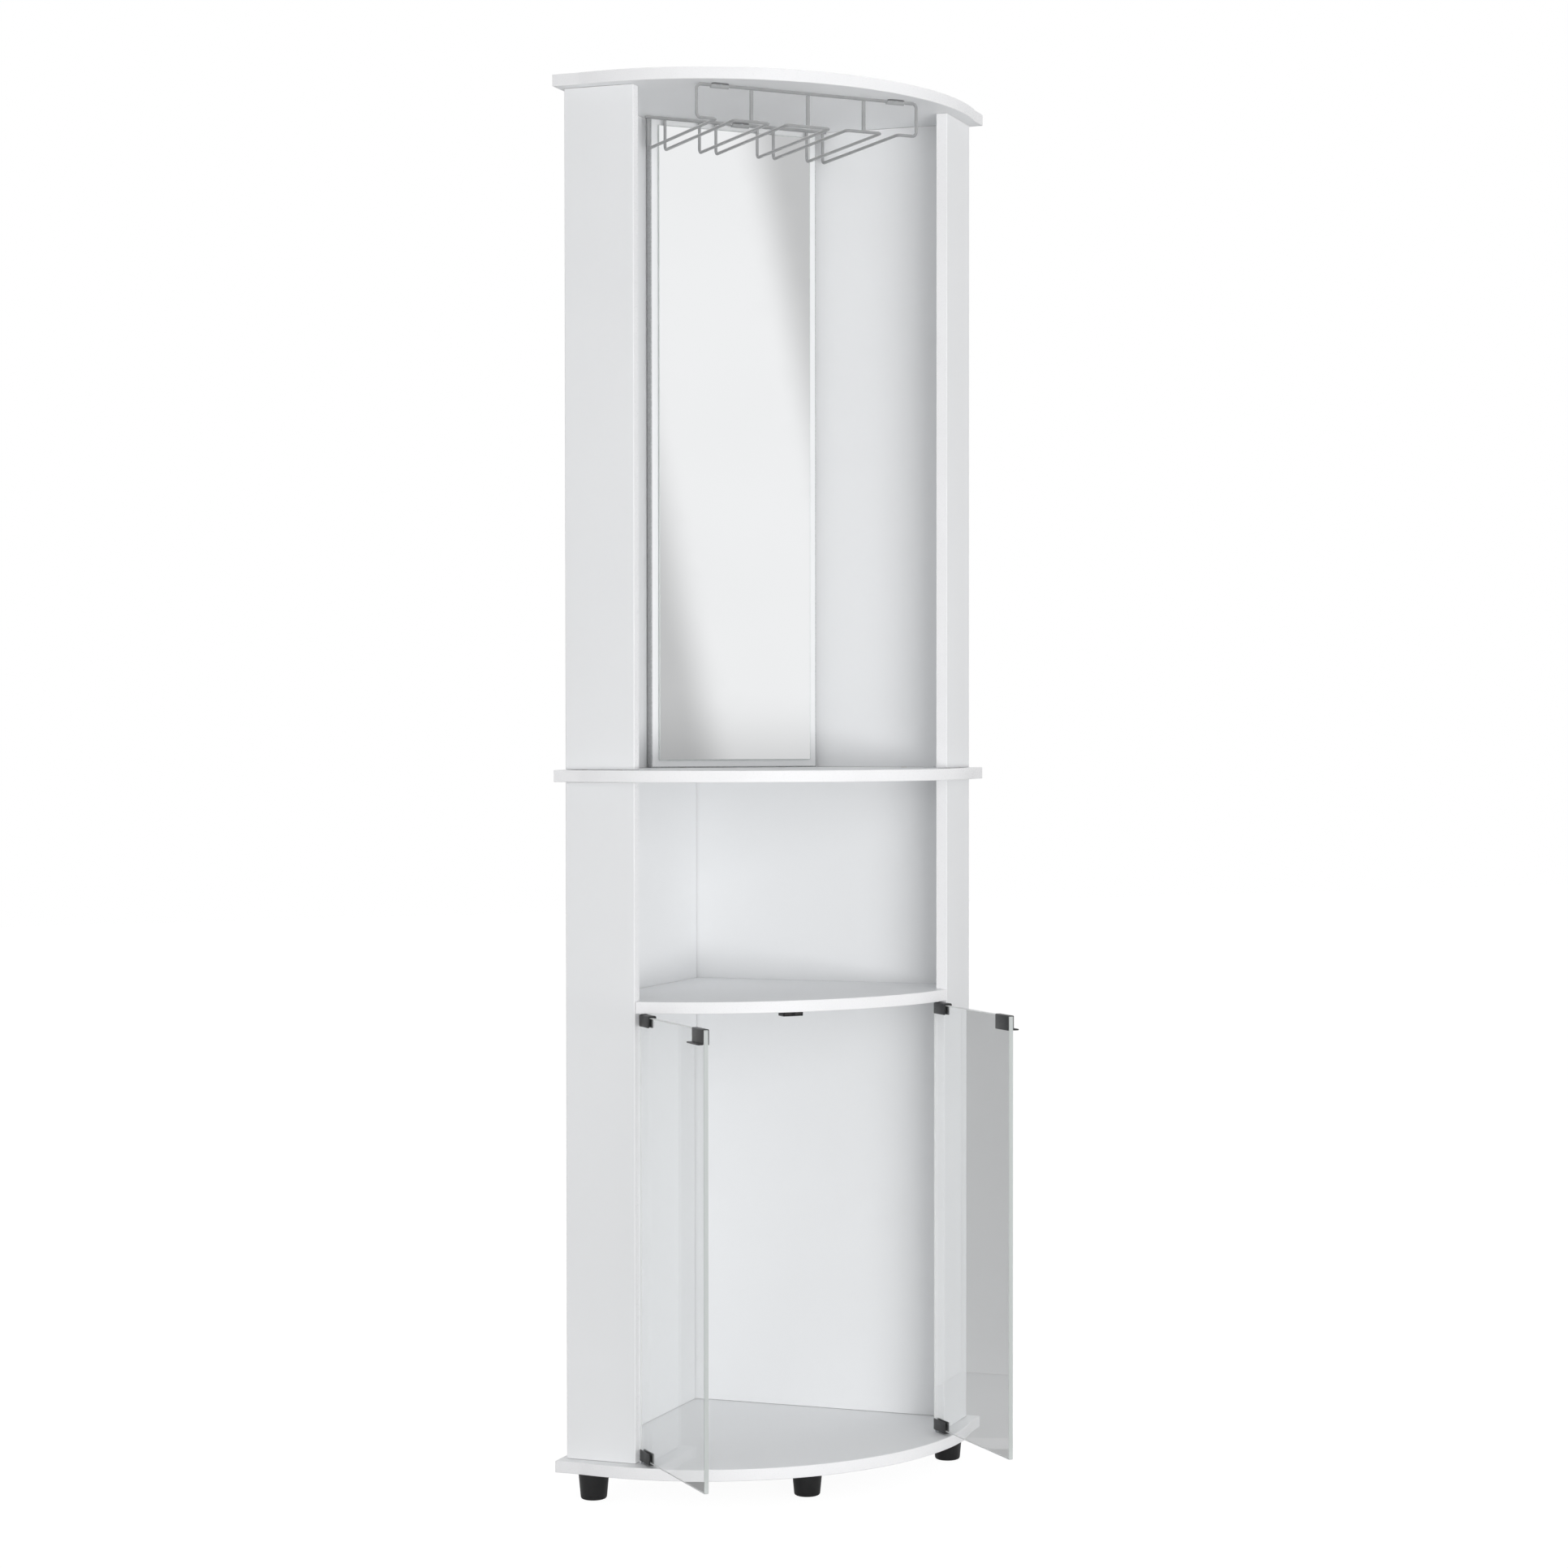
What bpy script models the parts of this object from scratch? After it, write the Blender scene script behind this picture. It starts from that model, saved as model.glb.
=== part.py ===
"""Corner bar cabinet: four boards with bowed fronts on two walls that meet at a right angle.

The upper bay has a mirror across its corner and a wire rack for stemware under its top board.
The lower part has an open niche above a cupboard with two glass doors that turn on pivot pins.
Lengths are metres, +Z is up, and the bowed front faces -Y.
"""
import math

import bmesh
import bpy
from mathutils import Matrix, Vector

OBJECT_NAME = "corner_bar_cabinet"
ROOT_TWO = math.sqrt(2.0)

# Fits
SEAT_GAP = 0.0003
LINER_GAP = 0.0001
WELD_DISTANCE = 0.00001
CUT_OVERRUN = 0.002

# Carcass, set out from the rear corner along the two walls
TOTAL_HEIGHT = 1.800
BOARD_THICKNESS = 0.015
CABINET_DEPTH = 0.405
RETURN_WIDTH = 0.095
WALL_INSET = 0.001
BOARD_FRONT_OVERHANG = 0.016
BOARD_REAR_OVERHANG = 0.009
BOARD_END_LENGTH = 0.033
BOARD_FRONT_RISE = 0.141
MIDDLE_BOARD_TOP = 0.927
NICHE_CLEAR_HEIGHT = 0.276
SHELF_FRONT_RISE = 0.0685
EDGE_EASE = 0.0006

# Feet
FOOT_HEIGHT = 0.038
FOOT_TOP_RADIUS = 0.020
FOOT_BOTTOM_RADIUS = 0.0165
FOOT_RIM_RADIUS = 0.003
FOOT_BORE_RADIUS = 0.0024
FOOT_RECESS_RADIUS = 0.0065
FOOT_RECESS_DEPTH = 0.024
FRONT_FOOT_INSET = 0.021
REAR_FOOT_INSET = 0.028
MIDDLE_FOOT_SETBACK = 0.0625
FOOT_SCREW_RADIUS = 0.002
FOOT_SCREW_HEAD_RADIUS = 0.0045
FOOT_SCREW_HEAD_HEIGHT = 0.0026
FOOT_SCREW_GRIP = 0.011

# Dowels
DOWEL_RADIUS = 0.004
DOWEL_GRIP = 0.009
DOWEL_END_GAP = 0.0005
DOWEL_ROOT = 0.003
WALL_DOWEL_SHARES = (0.2, 0.8)
RETURN_DOWEL_SHARES = (0.25, 0.75)
SHELF_RETURN_DOWEL_SHARE = 0.6
BACKING_DOWEL_SHARE = 0.6

# Mirror across the rear corner
MIRROR_PLANE = 0.1575
MIRROR_INSET = 0.010
MIRROR_THICKNESS = 0.003
TAPE_THICKNESS = 0.001
TAPE_WIDTH = 0.018
TAPE_END_MARGIN = 0.060
TAPE_SIDE_SHARE = 0.6

# Glass doors and their pivots
GLASS_THICKNESS = 0.006
GLASS_ARRIS = 0.0007
PIN_SETBACK = 0.0085
SWING_CLEARANCE = 0.0009
DOOR_CENTRE_GAP = 0.006
DOOR_TOP_GAP = 0.0035
DOOR_BOTTOM_GAP = 0.005
CLAMP_LENGTH = 0.031
CLAMP_START = 0.004
CLAMP_LEG_HEIGHT = 0.0125
CLAMP_SHEET = 0.0016
CLAMP_EASE = 0.0004
LINER_THICKNESS = 0.0008
LINER_MARGIN = 0.001
LINER_EASE = 0.0002
PIN_RADIUS = 0.0025
PIN_GRIP = 0.008
BUSH_WALL = 0.0007
BUSH_LENGTH = 0.009
BUSH_FLANGE_RADIUS = 0.0048

# Strike clips and the double magnetic catch
STRIKE_LENGTH = 0.035
STRIKE_HEIGHT = 0.018
STRIKE_SHEET = 0.001
STRIKE_LIP = 0.007
STRIKE_END_INSET = 0.0005
CATCH_CLEARANCE = 0.0005
CATCH_WIDTH = 0.028
CATCH_DEPTH = 0.016
CATCH_HEIGHT = 0.012
CATCH_EASE = 0.0005
MAGNET_WIDTH = 0.0064
MAGNET_HEIGHT = 0.0076
MAGNET_DEPTH = 0.005
POLE_PLATE = 0.0014
POLE_PROUD = 0.0006
MAGNET_PLACE_SHARE = 0.25
CATCH_SCREW_RADIUS = 0.0014
CATCH_SCREW_HEAD_RADIUS = 0.0027
CATCH_SCREW_HEAD_HEIGHT = 0.0016
CATCH_SCREW_GRIP = 0.008
CATCH_SCREW_SIDE_SHARE = 0.25
CATCH_SCREW_DEPTH_SHARE = 0.76

# Stemware rack
WIRE_RADIUS = 0.002
WIRE_BEND = 0.0055
RACK_FRONT_MARGIN = 0.021
RACK_REAR_OFFSET = 0.0086
RACK_DROP = 0.0415
STEM_CHANNEL = 0.0235
MIDDLE_HAIRPIN_WIDTH = 0.0597
SIDE_HAIRPIN_WIDTH = 0.0489
RACK_END_REACH = 0.0265
REAR_BAR_OVERRUN = 0.0045
CLIP_LENGTH = 0.027
CLIP_WIDTH = 0.015
CLIP_SHEET = 0.0014
CLIP_CORNER = 0.005
CLIP_SIDE_INSET = 0.0305
REAR_CLIP_OFFSET = 0.005
CLIP_SCREW_RADIUS = 0.0010
CLIP_SCREW_HEAD_RADIUS = 0.0018
CLIP_SCREW_HEAD_HEIGHT = 0.0010
CLIP_SCREW_GRIP = 0.009
CLIP_SCREW_SHARE = 0.76

# Fineness of round forms
FRONT_STEPS = 40
TURN_STEPS = 24
SMALL_STEPS = 16
DRILL_STEPS = 12
BEND_STEPS = 4
ROUND_STEPS = 4

# Heights and plan places that follow
WALL_FACE = WALL_INSET + BOARD_THICKNESS
BOARD_SIDE = CABINET_DEPTH + BOARD_FRONT_OVERHANG
BOARD_END = BOARD_END_LENGTH - BOARD_REAR_OVERHANG
BOTTOM_BOARD_TOP = FOOT_HEIGHT + BOARD_THICKNESS
MIDDLE_BOARD_UNDER = MIDDLE_BOARD_TOP - BOARD_THICKNESS
SHELF_TOP = MIDDLE_BOARD_UNDER - NICHE_CLEAR_HEIGHT
SHELF_UNDER = SHELF_TOP - BOARD_THICKNESS
TOP_BOARD_UNDER = TOTAL_HEIGHT - BOARD_THICKNESS
PIVOT_STANDOFF = math.hypot(PIN_SETBACK, GLASS_THICKNESS / 2) + SWING_CLEARANCE
PIVOT_NEAR = RETURN_WIDTH + PIVOT_STANDOFF
PIVOT_FAR = CABINET_DEPTH - BOARD_THICKNESS / 2
PIVOT_SIDE = (PIVOT_FAR - PIVOT_NEAR) / ROOT_TWO
PIVOT_FORWARD = (PIVOT_FAR + PIVOT_NEAR) / ROOT_TWO
DOOR_REACH = PIVOT_SIDE - DOOR_CENTRE_GAP / 2
GLASS_BOTTOM = BOTTOM_BOARD_TOP + DOOR_BOTTOM_GAP
GLASS_TOP = SHELF_UNDER - DOOR_TOP_GAP
# The doors stand open at rest, so their free edges are the foremost line of the object.
CORNER_Y = (PIVOT_FORWARD + DOOR_REACH - BOARD_REAR_OVERHANG * ROOT_TWO) / 2


def linear_colour(hex_code):
    """Turn an sRGB hex code into linear RGBA."""
    channels = [int(hex_code[i:i + 2], 16) / 255 for i in (0, 2, 4)]
    values = [c / 12.92 if c <= 0.04045 else ((c + 0.055) / 1.055) ** 2.4 for c in channels]
    return (*values, 1.0)


def make_material(name, hex_code, roughness, metallic=0.0, alpha=1.0):
    """Make one Principled material."""
    material = bpy.data.materials.new(name)
    material.use_nodes = True
    shader = material.node_tree.nodes["Principled BSDF"]
    shader.inputs["Base Color"].default_value = linear_colour(hex_code)
    shader.inputs["Roughness"].default_value = roughness
    shader.inputs["Metallic"].default_value = metallic
    shader.inputs["Alpha"].default_value = alpha
    material.diffuse_color = linear_colour(hex_code)
    return material


def make_materials():
    """Make the cabinet's materials."""
    return {
        "board": make_material("white_laminated_board", "ECEDEE", 0.45),
        "mirror": make_material("silvered_mirror_glass", "E9ECEC", 0.03, 1.0),
        "glass": make_material("grey_tinted_glass", "C9CCCB", 0.04, 0.0, 0.35),
        "black": make_material("black_painted_steel", "262727", 0.42, 0.2),
        "steel": make_material("plated_steel", "B9BBBC", 0.35, 1.0),
        "wire": make_material("grey_lacquered_wire", "9B9C9D", 0.35, 0.4),
        "foot": make_material("black_moulded_plastic", "171718", 0.5),
        "rubber": make_material("clear_grey_liner", "8F9292", 0.6),
        "magnet": make_material("dark_ferrite", "3A3836", 0.7),
        "foam": make_material("white_foam_tape", "E4E4E0", 0.8),
    }


class Workshop:
    """Holds the collections, frames and materials that the pieces share."""

    def __init__(self):
        for item in list(bpy.data.objects):
            bpy.data.objects.remove(item, do_unlink=True)
        self.parts = bpy.data.collections.new(OBJECT_NAME)
        self.cutters = bpy.data.collections.new("cutters")
        for collection in (self.parts, self.cutters):
            bpy.context.scene.collection.children.link(collection)
        self.materials = make_materials()
        # x of the plan frame runs along the left wall and y along the right wall.
        self.plan = self.empty("plan_frame", (0, CORNER_Y, 0), math.radians(225))
        # The diagonal frame faces forward: y is minus the distance from the rear corner.
        self.diagonal = self.empty("diagonal_frame", (0, CORNER_Y, 0), 0)

    def empty(self, name, location, turn):
        """Add an empty that carries a frame."""
        item = bpy.data.objects.new(name, None)
        item.location = location
        item.rotation_euler = (0, 0, turn)
        item.hide_render = True
        self.cutters.objects.link(item)
        return item

    def add(self, name, mesh, material, parent, location=(0, 0, 0), smooth=False):
        """Add one named piece from its mesh."""
        item = bpy.data.objects.new(name, mesh)
        item.parent = parent
        item.location = location
        mesh.materials.clear()
        mesh.materials.append(self.materials[material])
        if smooth:
            mesh.shade_smooth()
            mesh.set_sharp_from_angle(angle=math.radians(35))
        self.parts.objects.link(item)
        return item

    def add_cutter(self, name, mesh, parent, location=(0, 0, 0)):
        """Add a mesh that only cuts others."""
        item = bpy.data.objects.new(name, mesh)
        item.parent = parent
        item.location = location
        item.hide_render = True
        item.display_type = "WIRE"
        self.cutters.objects.link(item)
        return item

    def evaluated_mesh(self, item, name):
        """Give an object's mesh with its modifiers or its curve form applied, then remove it."""
        bpy.context.view_layer.update()
        graph = bpy.context.evaluated_depsgraph_get()
        mesh = bpy.data.meshes.new_from_object(item.evaluated_get(graph))
        mesh.name = name
        bpy.data.objects.remove(item, do_unlink=True)
        return mesh


def box_mesh(name, size):
    """Give a box centred on its own origin."""
    bm = bmesh.new()
    bmesh.ops.create_cube(bm, size=1.0, matrix=Matrix.Diagonal((*size, 1.0)))
    mesh = bpy.data.meshes.new(name)
    bm.to_mesh(mesh)
    bm.free()
    return mesh


def span_box(shop, name, low, high, material, parent):
    """Add a box between two corners."""
    low, high = Vector(low), Vector(high)
    return shop.add(name, box_mesh(name, high - low), material, parent, (low + high) / 2)


def ease_edges(item, width, segments=1):
    """Round the sharp edges of a piece."""
    bevel = item.modifiers.new("eased_edges", "BEVEL")
    bevel.width = width
    bevel.segments = segments
    bevel.limit_method = "ANGLE"
    bevel.angle_limit = math.radians(50)
    return bevel


def cut(item, cutter, operation="DIFFERENCE"):
    """Cut a piece with another mesh."""
    boolean = item.modifiers.new(cutter.name, "BOOLEAN")
    boolean.operation = operation
    boolean.solver = "EXACT"
    boolean.object = cutter
    return boolean


def plate_mesh(shop, name, outline, thickness):
    """Give a flat plate with the outline's shape, centred on its mid plane."""
    curve = bpy.data.curves.new(name, "CURVE")
    curve.dimensions = "2D"
    curve.fill_mode = "BOTH"
    curve.extrude = thickness / 2
    spline = curve.splines.new("POLY")
    spline.points.add(len(outline) - 1)
    for point, (x, y) in zip(spline.points, outline):
        point.co = (x, y, 0, 1)
    spline.use_cyclic_u = True
    item = bpy.data.objects.new(name, curve)
    shop.cutters.objects.link(item)
    mesh = shop.evaluated_mesh(item, name)
    bpy.data.curves.remove(curve)
    bm = bmesh.new()
    bm.from_mesh(mesh)
    bmesh.ops.remove_doubles(bm, verts=bm.verts, dist=WELD_DISTANCE)
    bmesh.ops.dissolve_limit(bm, angle_limit=math.radians(0.1), verts=bm.verts, edges=bm.edges)
    bmesh.ops.recalc_face_normals(bm, faces=bm.faces)
    bm.to_mesh(mesh)
    bm.free()
    return mesh


def turned_mesh(shop, name, profile, steps, closed=False):
    """Turn a profile about Z. Its outer side runs from top to bottom."""
    count = len(profile)
    edges = [(i, i + 1) for i in range(count - 1)]
    if closed:
        edges.append((count - 1, 0))
    mesh = bpy.data.meshes.new(name + "_profile")
    mesh.from_pydata([(radius, 0, height) for radius, height in profile], edges, [])
    item = bpy.data.objects.new(name + "_profile", mesh)
    shop.cutters.objects.link(item)
    screw = item.modifiers.new("turn", "SCREW")
    screw.steps = steps
    screw.render_steps = steps
    screw.use_merge_vertices = True
    screw.merge_threshold = WELD_DISTANCE
    turned = shop.evaluated_mesh(item, name)
    bpy.data.meshes.remove(mesh)
    return turned


def copies_mesh(name, mesh, matrices):
    """Give one mesh with a copy of another at each matrix."""
    bm = bmesh.new()
    for matrix in matrices:
        start = len(bm.verts)
        bm.from_mesh(mesh)
        bm.verts.ensure_lookup_table()
        bmesh.ops.transform(bm, matrix=matrix, verts=bm.verts[start:])
    bmesh.ops.recalc_face_normals(bm, faces=bm.faces)
    result = bpy.data.meshes.new(name)
    bm.to_mesh(result)
    bm.free()
    return result


def facing(direction):
    """Give the rotation that takes +Z to a direction."""
    return Vector((0, 0, 1)).rotation_difference(Vector(direction)).to_matrix().to_4x4()


def rods_mesh(name, rods, back, steps=DRILL_STEPS):
    """Give round rods, each a mouth, a direction, a depth past it and a radius."""
    bm = bmesh.new()
    for mouth, direction, depth, radius in rods:
        direction = Vector(direction).normalized()
        centre = Vector(mouth) + direction * (depth - back) / 2
        bmesh.ops.create_cone(bm, cap_ends=True, segments=steps, radius1=radius,
                              radius2=radius, depth=depth + back,
                              matrix=Matrix.Translation(centre) @ facing(direction))
    mesh = bpy.data.meshes.new(name)
    bm.to_mesh(mesh)
    bm.free()
    return mesh


def drill(shop, item, name, holes, steps=DRILL_STEPS):
    """Drill holes into a piece, each a mouth, a direction, a depth and a radius."""
    mesh = rods_mesh(name, holes, CUT_OVERRUN, steps)
    cut(item, shop.add_cutter(name, mesh, item.parent))


def fit_dowels(shop, item, name, dowels):
    """Fix dowels in the edges of a piece, each a mouth, a direction, a depth and a radius."""
    mesh = rods_mesh(name, dowels, DOWEL_ROOT)
    cut(item, shop.add_cutter(name, mesh, item.parent), "UNION")


def pin_profile(radius, bottom, top):
    """Profile of a plain round pin."""
    return [(0, top), (radius, top), (radius, bottom), (0, bottom)]


def screw_profile(radius, head_radius, head_height, grip):
    """Profile of a screw that points up, with the seat of its head at zero."""
    return [(0, grip), (radius, grip), (radius, 0), (head_radius, 0),
            (head_radius, -head_height), (0, -head_height)]


def arc_between(start, end, rise, steps):
    """Points on the arc that bows forward by rise between two plan points."""
    start, end = Vector(start), Vector(end)
    half = (end - start).length / 2
    radius = (half * half + rise * rise) / (2 * rise)
    middle = (start + end) / 2
    centre = middle + middle.normalized() * (rise - radius)
    sweep = 2 * math.atan2(half, radius - rise)
    return [centre + Matrix.Rotation(sweep * i / steps, 2) @ (start - centre)
            for i in range(steps + 1)]


def front_distance(start, rise, side):
    """How far forward of the rear corner a bowed edge lies at a distance to one side."""
    half = (start[0] - start[1]) / ROOT_TWO
    radius = (half * half + rise * rise) / (2 * rise)
    return (start[0] + start[1]) / ROOT_TWO + rise - radius + math.sqrt(radius ** 2 - side ** 2)


def half_turn(radius, height, start, end, steps):
    """Points on a half circle about (0, height), between two angles in degrees."""
    angles = [math.radians(start + (end - start) * i / steps) for i in range(steps + 1)]
    return [(radius * math.cos(a), height + radius * math.sin(a)) for a in angles]


def rounded_rectangle(length, width, radius, steps):
    """Outline of a rectangle with round corners."""
    points = []
    for corner, (sx, sy) in enumerate(((1, 1), (-1, 1), (-1, -1), (1, -1))):
        cx, cy = sx * (length / 2 - radius), sy * (width / 2 - radius)
        for i in range(steps + 1):
            angle = math.radians(90 * (corner + i / steps))
            points.append((cx + radius * math.cos(angle), cy + radius * math.sin(angle)))
    return points


BOARD_CORNER = (BOARD_SIDE, BOARD_END)
SHELF_CORNER = (CABINET_DEPTH, RETURN_WIDTH + SEAT_GAP)


def board_outline():
    """Outline of the top, middle and bottom boards in the plan frame."""
    rear = -BOARD_REAR_OVERHANG
    front = arc_between(BOARD_CORNER, BOARD_CORNER[::-1], BOARD_FRONT_RISE, FRONT_STEPS)
    return [(rear, rear), (BOARD_SIDE, rear), *front, (rear, BOARD_SIDE)]


def shelf_outline():
    """Outline of the niche shelf, which butts the walls and laps the returns' front edges."""
    rear = WALL_FACE + SEAT_GAP
    inner = CABINET_DEPTH - BOARD_THICKNESS - SEAT_GAP
    lap = SHELF_CORNER[1]
    front = arc_between(SHELF_CORNER, SHELF_CORNER[::-1], SHELF_FRONT_RISE, FRONT_STEPS)
    return [(rear, rear), (inner, rear), (inner, lap), *front, (lap, inner), (rear, inner)]


def wall_span():
    """Start and end of a wall panel along its wall."""
    return WALL_FACE + SEAT_GAP, CABINET_DEPTH - BOARD_THICKNESS - SEAT_GAP


def panel_dowel_places():
    """Plan places of the upright dowels, by panel side and kind."""
    start, end = wall_span()
    wall_mid = WALL_INSET + BOARD_THICKNESS / 2
    return_mid = CABINET_DEPTH - BOARD_THICKNESS / 2
    along_wall = [start + (end - start) * share for share in WALL_DOWEL_SHARES]
    along_return = [RETURN_WIDTH * share for share in RETURN_DOWEL_SHARES]
    return {
        "left_wall": [(place, wall_mid) for place in along_wall],
        "right_wall": [(wall_mid, place) for place in along_wall],
        "left_return": [(return_mid, place) for place in along_return],
        "right_return": [(place, return_mid) for place in along_return],
    }


def backing_half_width():
    """Half the width of the board behind the mirror, whose rear edges meet the walls."""
    return MIRROR_PLANE - BOARD_THICKNESS - ROOT_TWO * (WALL_FACE + SEAT_GAP)


def backing_dowel_places():
    """Plan places of the dowels in the board behind the mirror."""
    forward = MIRROR_PLANE - BOARD_THICKNESS / 2
    side = backing_half_width() * BACKING_DOWEL_SHARE
    near, far = (forward - side) / ROOT_TWO, (forward + side) / ROOT_TWO
    return [(near, far), (far, near)]


def shelf_dowel_places():
    """Mouth and direction of each level dowel between the niche shelf and the panels."""
    start, end = wall_span()
    height = SHELF_TOP - BOARD_THICKNESS / 2
    inner = CABINET_DEPTH - BOARD_THICKNESS
    along_return = RETURN_WIDTH * SHELF_RETURN_DOWEL_SHARE
    places = {"left_wall": [], "right_wall": []}
    for share in WALL_DOWEL_SHARES:
        along = start + (end - start) * share
        places["left_wall"].append(((along, WALL_FACE, height), (0, -1, 0)))
        places["right_wall"].append(((WALL_FACE, along, height), (-1, 0, 0)))
    places["left_return"] = [((inner, along_return, height), (1, 0, 0))]
    places["right_return"] = [((along_return, inner, height), (0, 1, 0))]
    return places


def pivot_places():
    """Plan places of the two door pivots."""
    return [(PIVOT_FAR, PIVOT_NEAR), (PIVOT_NEAR, PIVOT_FAR)]


def foot_places():
    """Plan places of the four feet."""
    far = CABINET_DEPTH - FRONT_FOOT_INSET
    near = REAR_FOOT_INSET
    front = front_distance(BOARD_CORNER, BOARD_FRONT_RISE, 0) - MIDDLE_FOOT_SETBACK
    return {
        "front_left_foot": (far, near),
        "front_right_foot": (near, far),
        "front_middle_foot": (front / ROOT_TWO, front / ROOT_TWO),
        "rear_corner_foot": (near, near),
    }


def catch_front():
    """Distance from the rear corner to the front of the catch's body."""
    strike_face = PIVOT_FORWARD - GLASS_THICKNESS / 2 - LINER_GAP - STRIKE_SHEET
    return strike_face - CATCH_CLEARANCE - POLE_PROUD


def catch_screw_places():
    """Places of the catch's screws in the diagonal frame."""
    forward = catch_front() - CATCH_DEPTH * CATCH_SCREW_DEPTH_SHARE
    side = CATCH_WIDTH * CATCH_SCREW_SIDE_SHARE
    return [(-side, -forward), (side, -forward)]


def rack_sides():
    """Distances of the rack's rails and end posts from its middle."""
    inner = MIDDLE_HAIRPIN_WIDTH / 2
    second = inner + STEM_CHANNEL
    third = second + SIDE_HAIRPIN_WIDTH
    outer = third + STEM_CHANNEL
    return inner, second, third, outer, outer + RACK_END_REACH


def rack_front():
    """Distance from the rear corner to the rack's front bar."""
    edge = front_distance(BOARD_CORNER, BOARD_FRONT_RISE, rack_sides()[4] + WIRE_RADIUS)
    return edge - RACK_FRONT_MARGIN


def rack_rear():
    """Distance from the rear corner to the rack's rear bar."""
    return MIRROR_PLANE + RACK_REAR_OFFSET


def clip_places():
    """Places of the rack's clips in the diagonal frame, on the bars' lines."""
    side = rack_sides()[4] - CLIP_SIDE_INSET
    return {
        "rack_front_left_clip": (-side, -rack_front()),
        "rack_front_right_clip": (side, -rack_front()),
        "rack_rear_clip": (REAR_CLIP_OFFSET, -rack_rear()),
    }


def clip_screw_places():
    """Places of the clips' screws in the diagonal frame, each in its clip's front flange."""
    offset = CLIP_WIDTH / 2 * CLIP_SCREW_SHARE
    return [(x, y - offset) for x, y in clip_places().values()]


def to_plan(x, y):
    """Turn a place in the diagonal frame into one in the plan frame."""
    return (-x - y) / ROOT_TWO, (x - y) / ROOT_TWO


def build_boards(shop):
    """The three bowed boards and the niche shelf, each drilled for what it carries."""
    bore = DOWEL_RADIUS + SEAT_GAP
    places = [place for group in panel_dowel_places().values() for place in group]
    up, down = (0, 0, 1), (0, 0, -1)
    blind = DOWEL_GRIP + DOWEL_END_GAP
    through = BOARD_THICKNESS + CUT_OVERRUN
    bush_bore = PIN_RADIUS + BUSH_WALL + 2 * SEAT_GAP
    bush_depth = BUSH_LENGTH + DOWEL_END_GAP

    top_holes = [((x, y, TOP_BOARD_UNDER), up, blind, bore)
                 for x, y in places + backing_dowel_places()]
    top_holes += [((*to_plan(x, y), TOP_BOARD_UNDER), up, CLIP_SCREW_GRIP + SEAT_GAP,
                   CLIP_SCREW_RADIUS + SEAT_GAP) for x, y in clip_screw_places()]
    middle_holes = [((x, y, MIDDLE_BOARD_TOP), down, through, bore) for x, y in places]
    middle_holes += [((x, y, MIDDLE_BOARD_TOP), down, blind, bore)
                     for x, y in backing_dowel_places()]
    bottom_holes = [((x, y, BOTTOM_BOARD_TOP), down, blind, bore) for x, y in places]
    bottom_holes += [((x, y, BOTTOM_BOARD_TOP), down, bush_depth, bush_bore)
                     for x, y in pivot_places()]
    bottom_holes += [((x, y, FOOT_HEIGHT), up, FOOT_SCREW_GRIP + SEAT_GAP,
                      FOOT_SCREW_RADIUS + SEAT_GAP) for x, y in foot_places().values()]
    shelf_holes = [((x, y, SHELF_UNDER), up, bush_depth, bush_bore)
                   for x, y in pivot_places()]
    shelf_holes += [((*to_plan(x, y), SHELF_UNDER), up, CATCH_SCREW_GRIP + SEAT_GAP,
                     CATCH_SCREW_RADIUS + SEAT_GAP) for x, y in catch_screw_places()]
    shelf_dowels = [(mouth, direction, DOWEL_GRIP, DOWEL_RADIUS)
                    for group in shelf_dowel_places().values() for mouth, direction in group]

    for name, outline, top, holes in (
            ("top_board", board_outline(), TOTAL_HEIGHT, top_holes),
            ("middle_board", board_outline(), MIDDLE_BOARD_TOP, middle_holes),
            ("niche_shelf", shelf_outline(), SHELF_TOP, shelf_holes),
            ("bottom_board", board_outline(), BOTTOM_BOARD_TOP, bottom_holes)):
        mesh = plate_mesh(shop, name, outline, BOARD_THICKNESS)
        item = shop.add(name, mesh, "board", shop.plan, (0, 0, top - BOARD_THICKNESS / 2))
        ease_edges(item, EDGE_EASE)
        if name == "niche_shelf":
            fit_dowels(shop, item, name + "_dowels", shelf_dowels)
        drill(shop, item, name + "_holes", holes)


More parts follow.
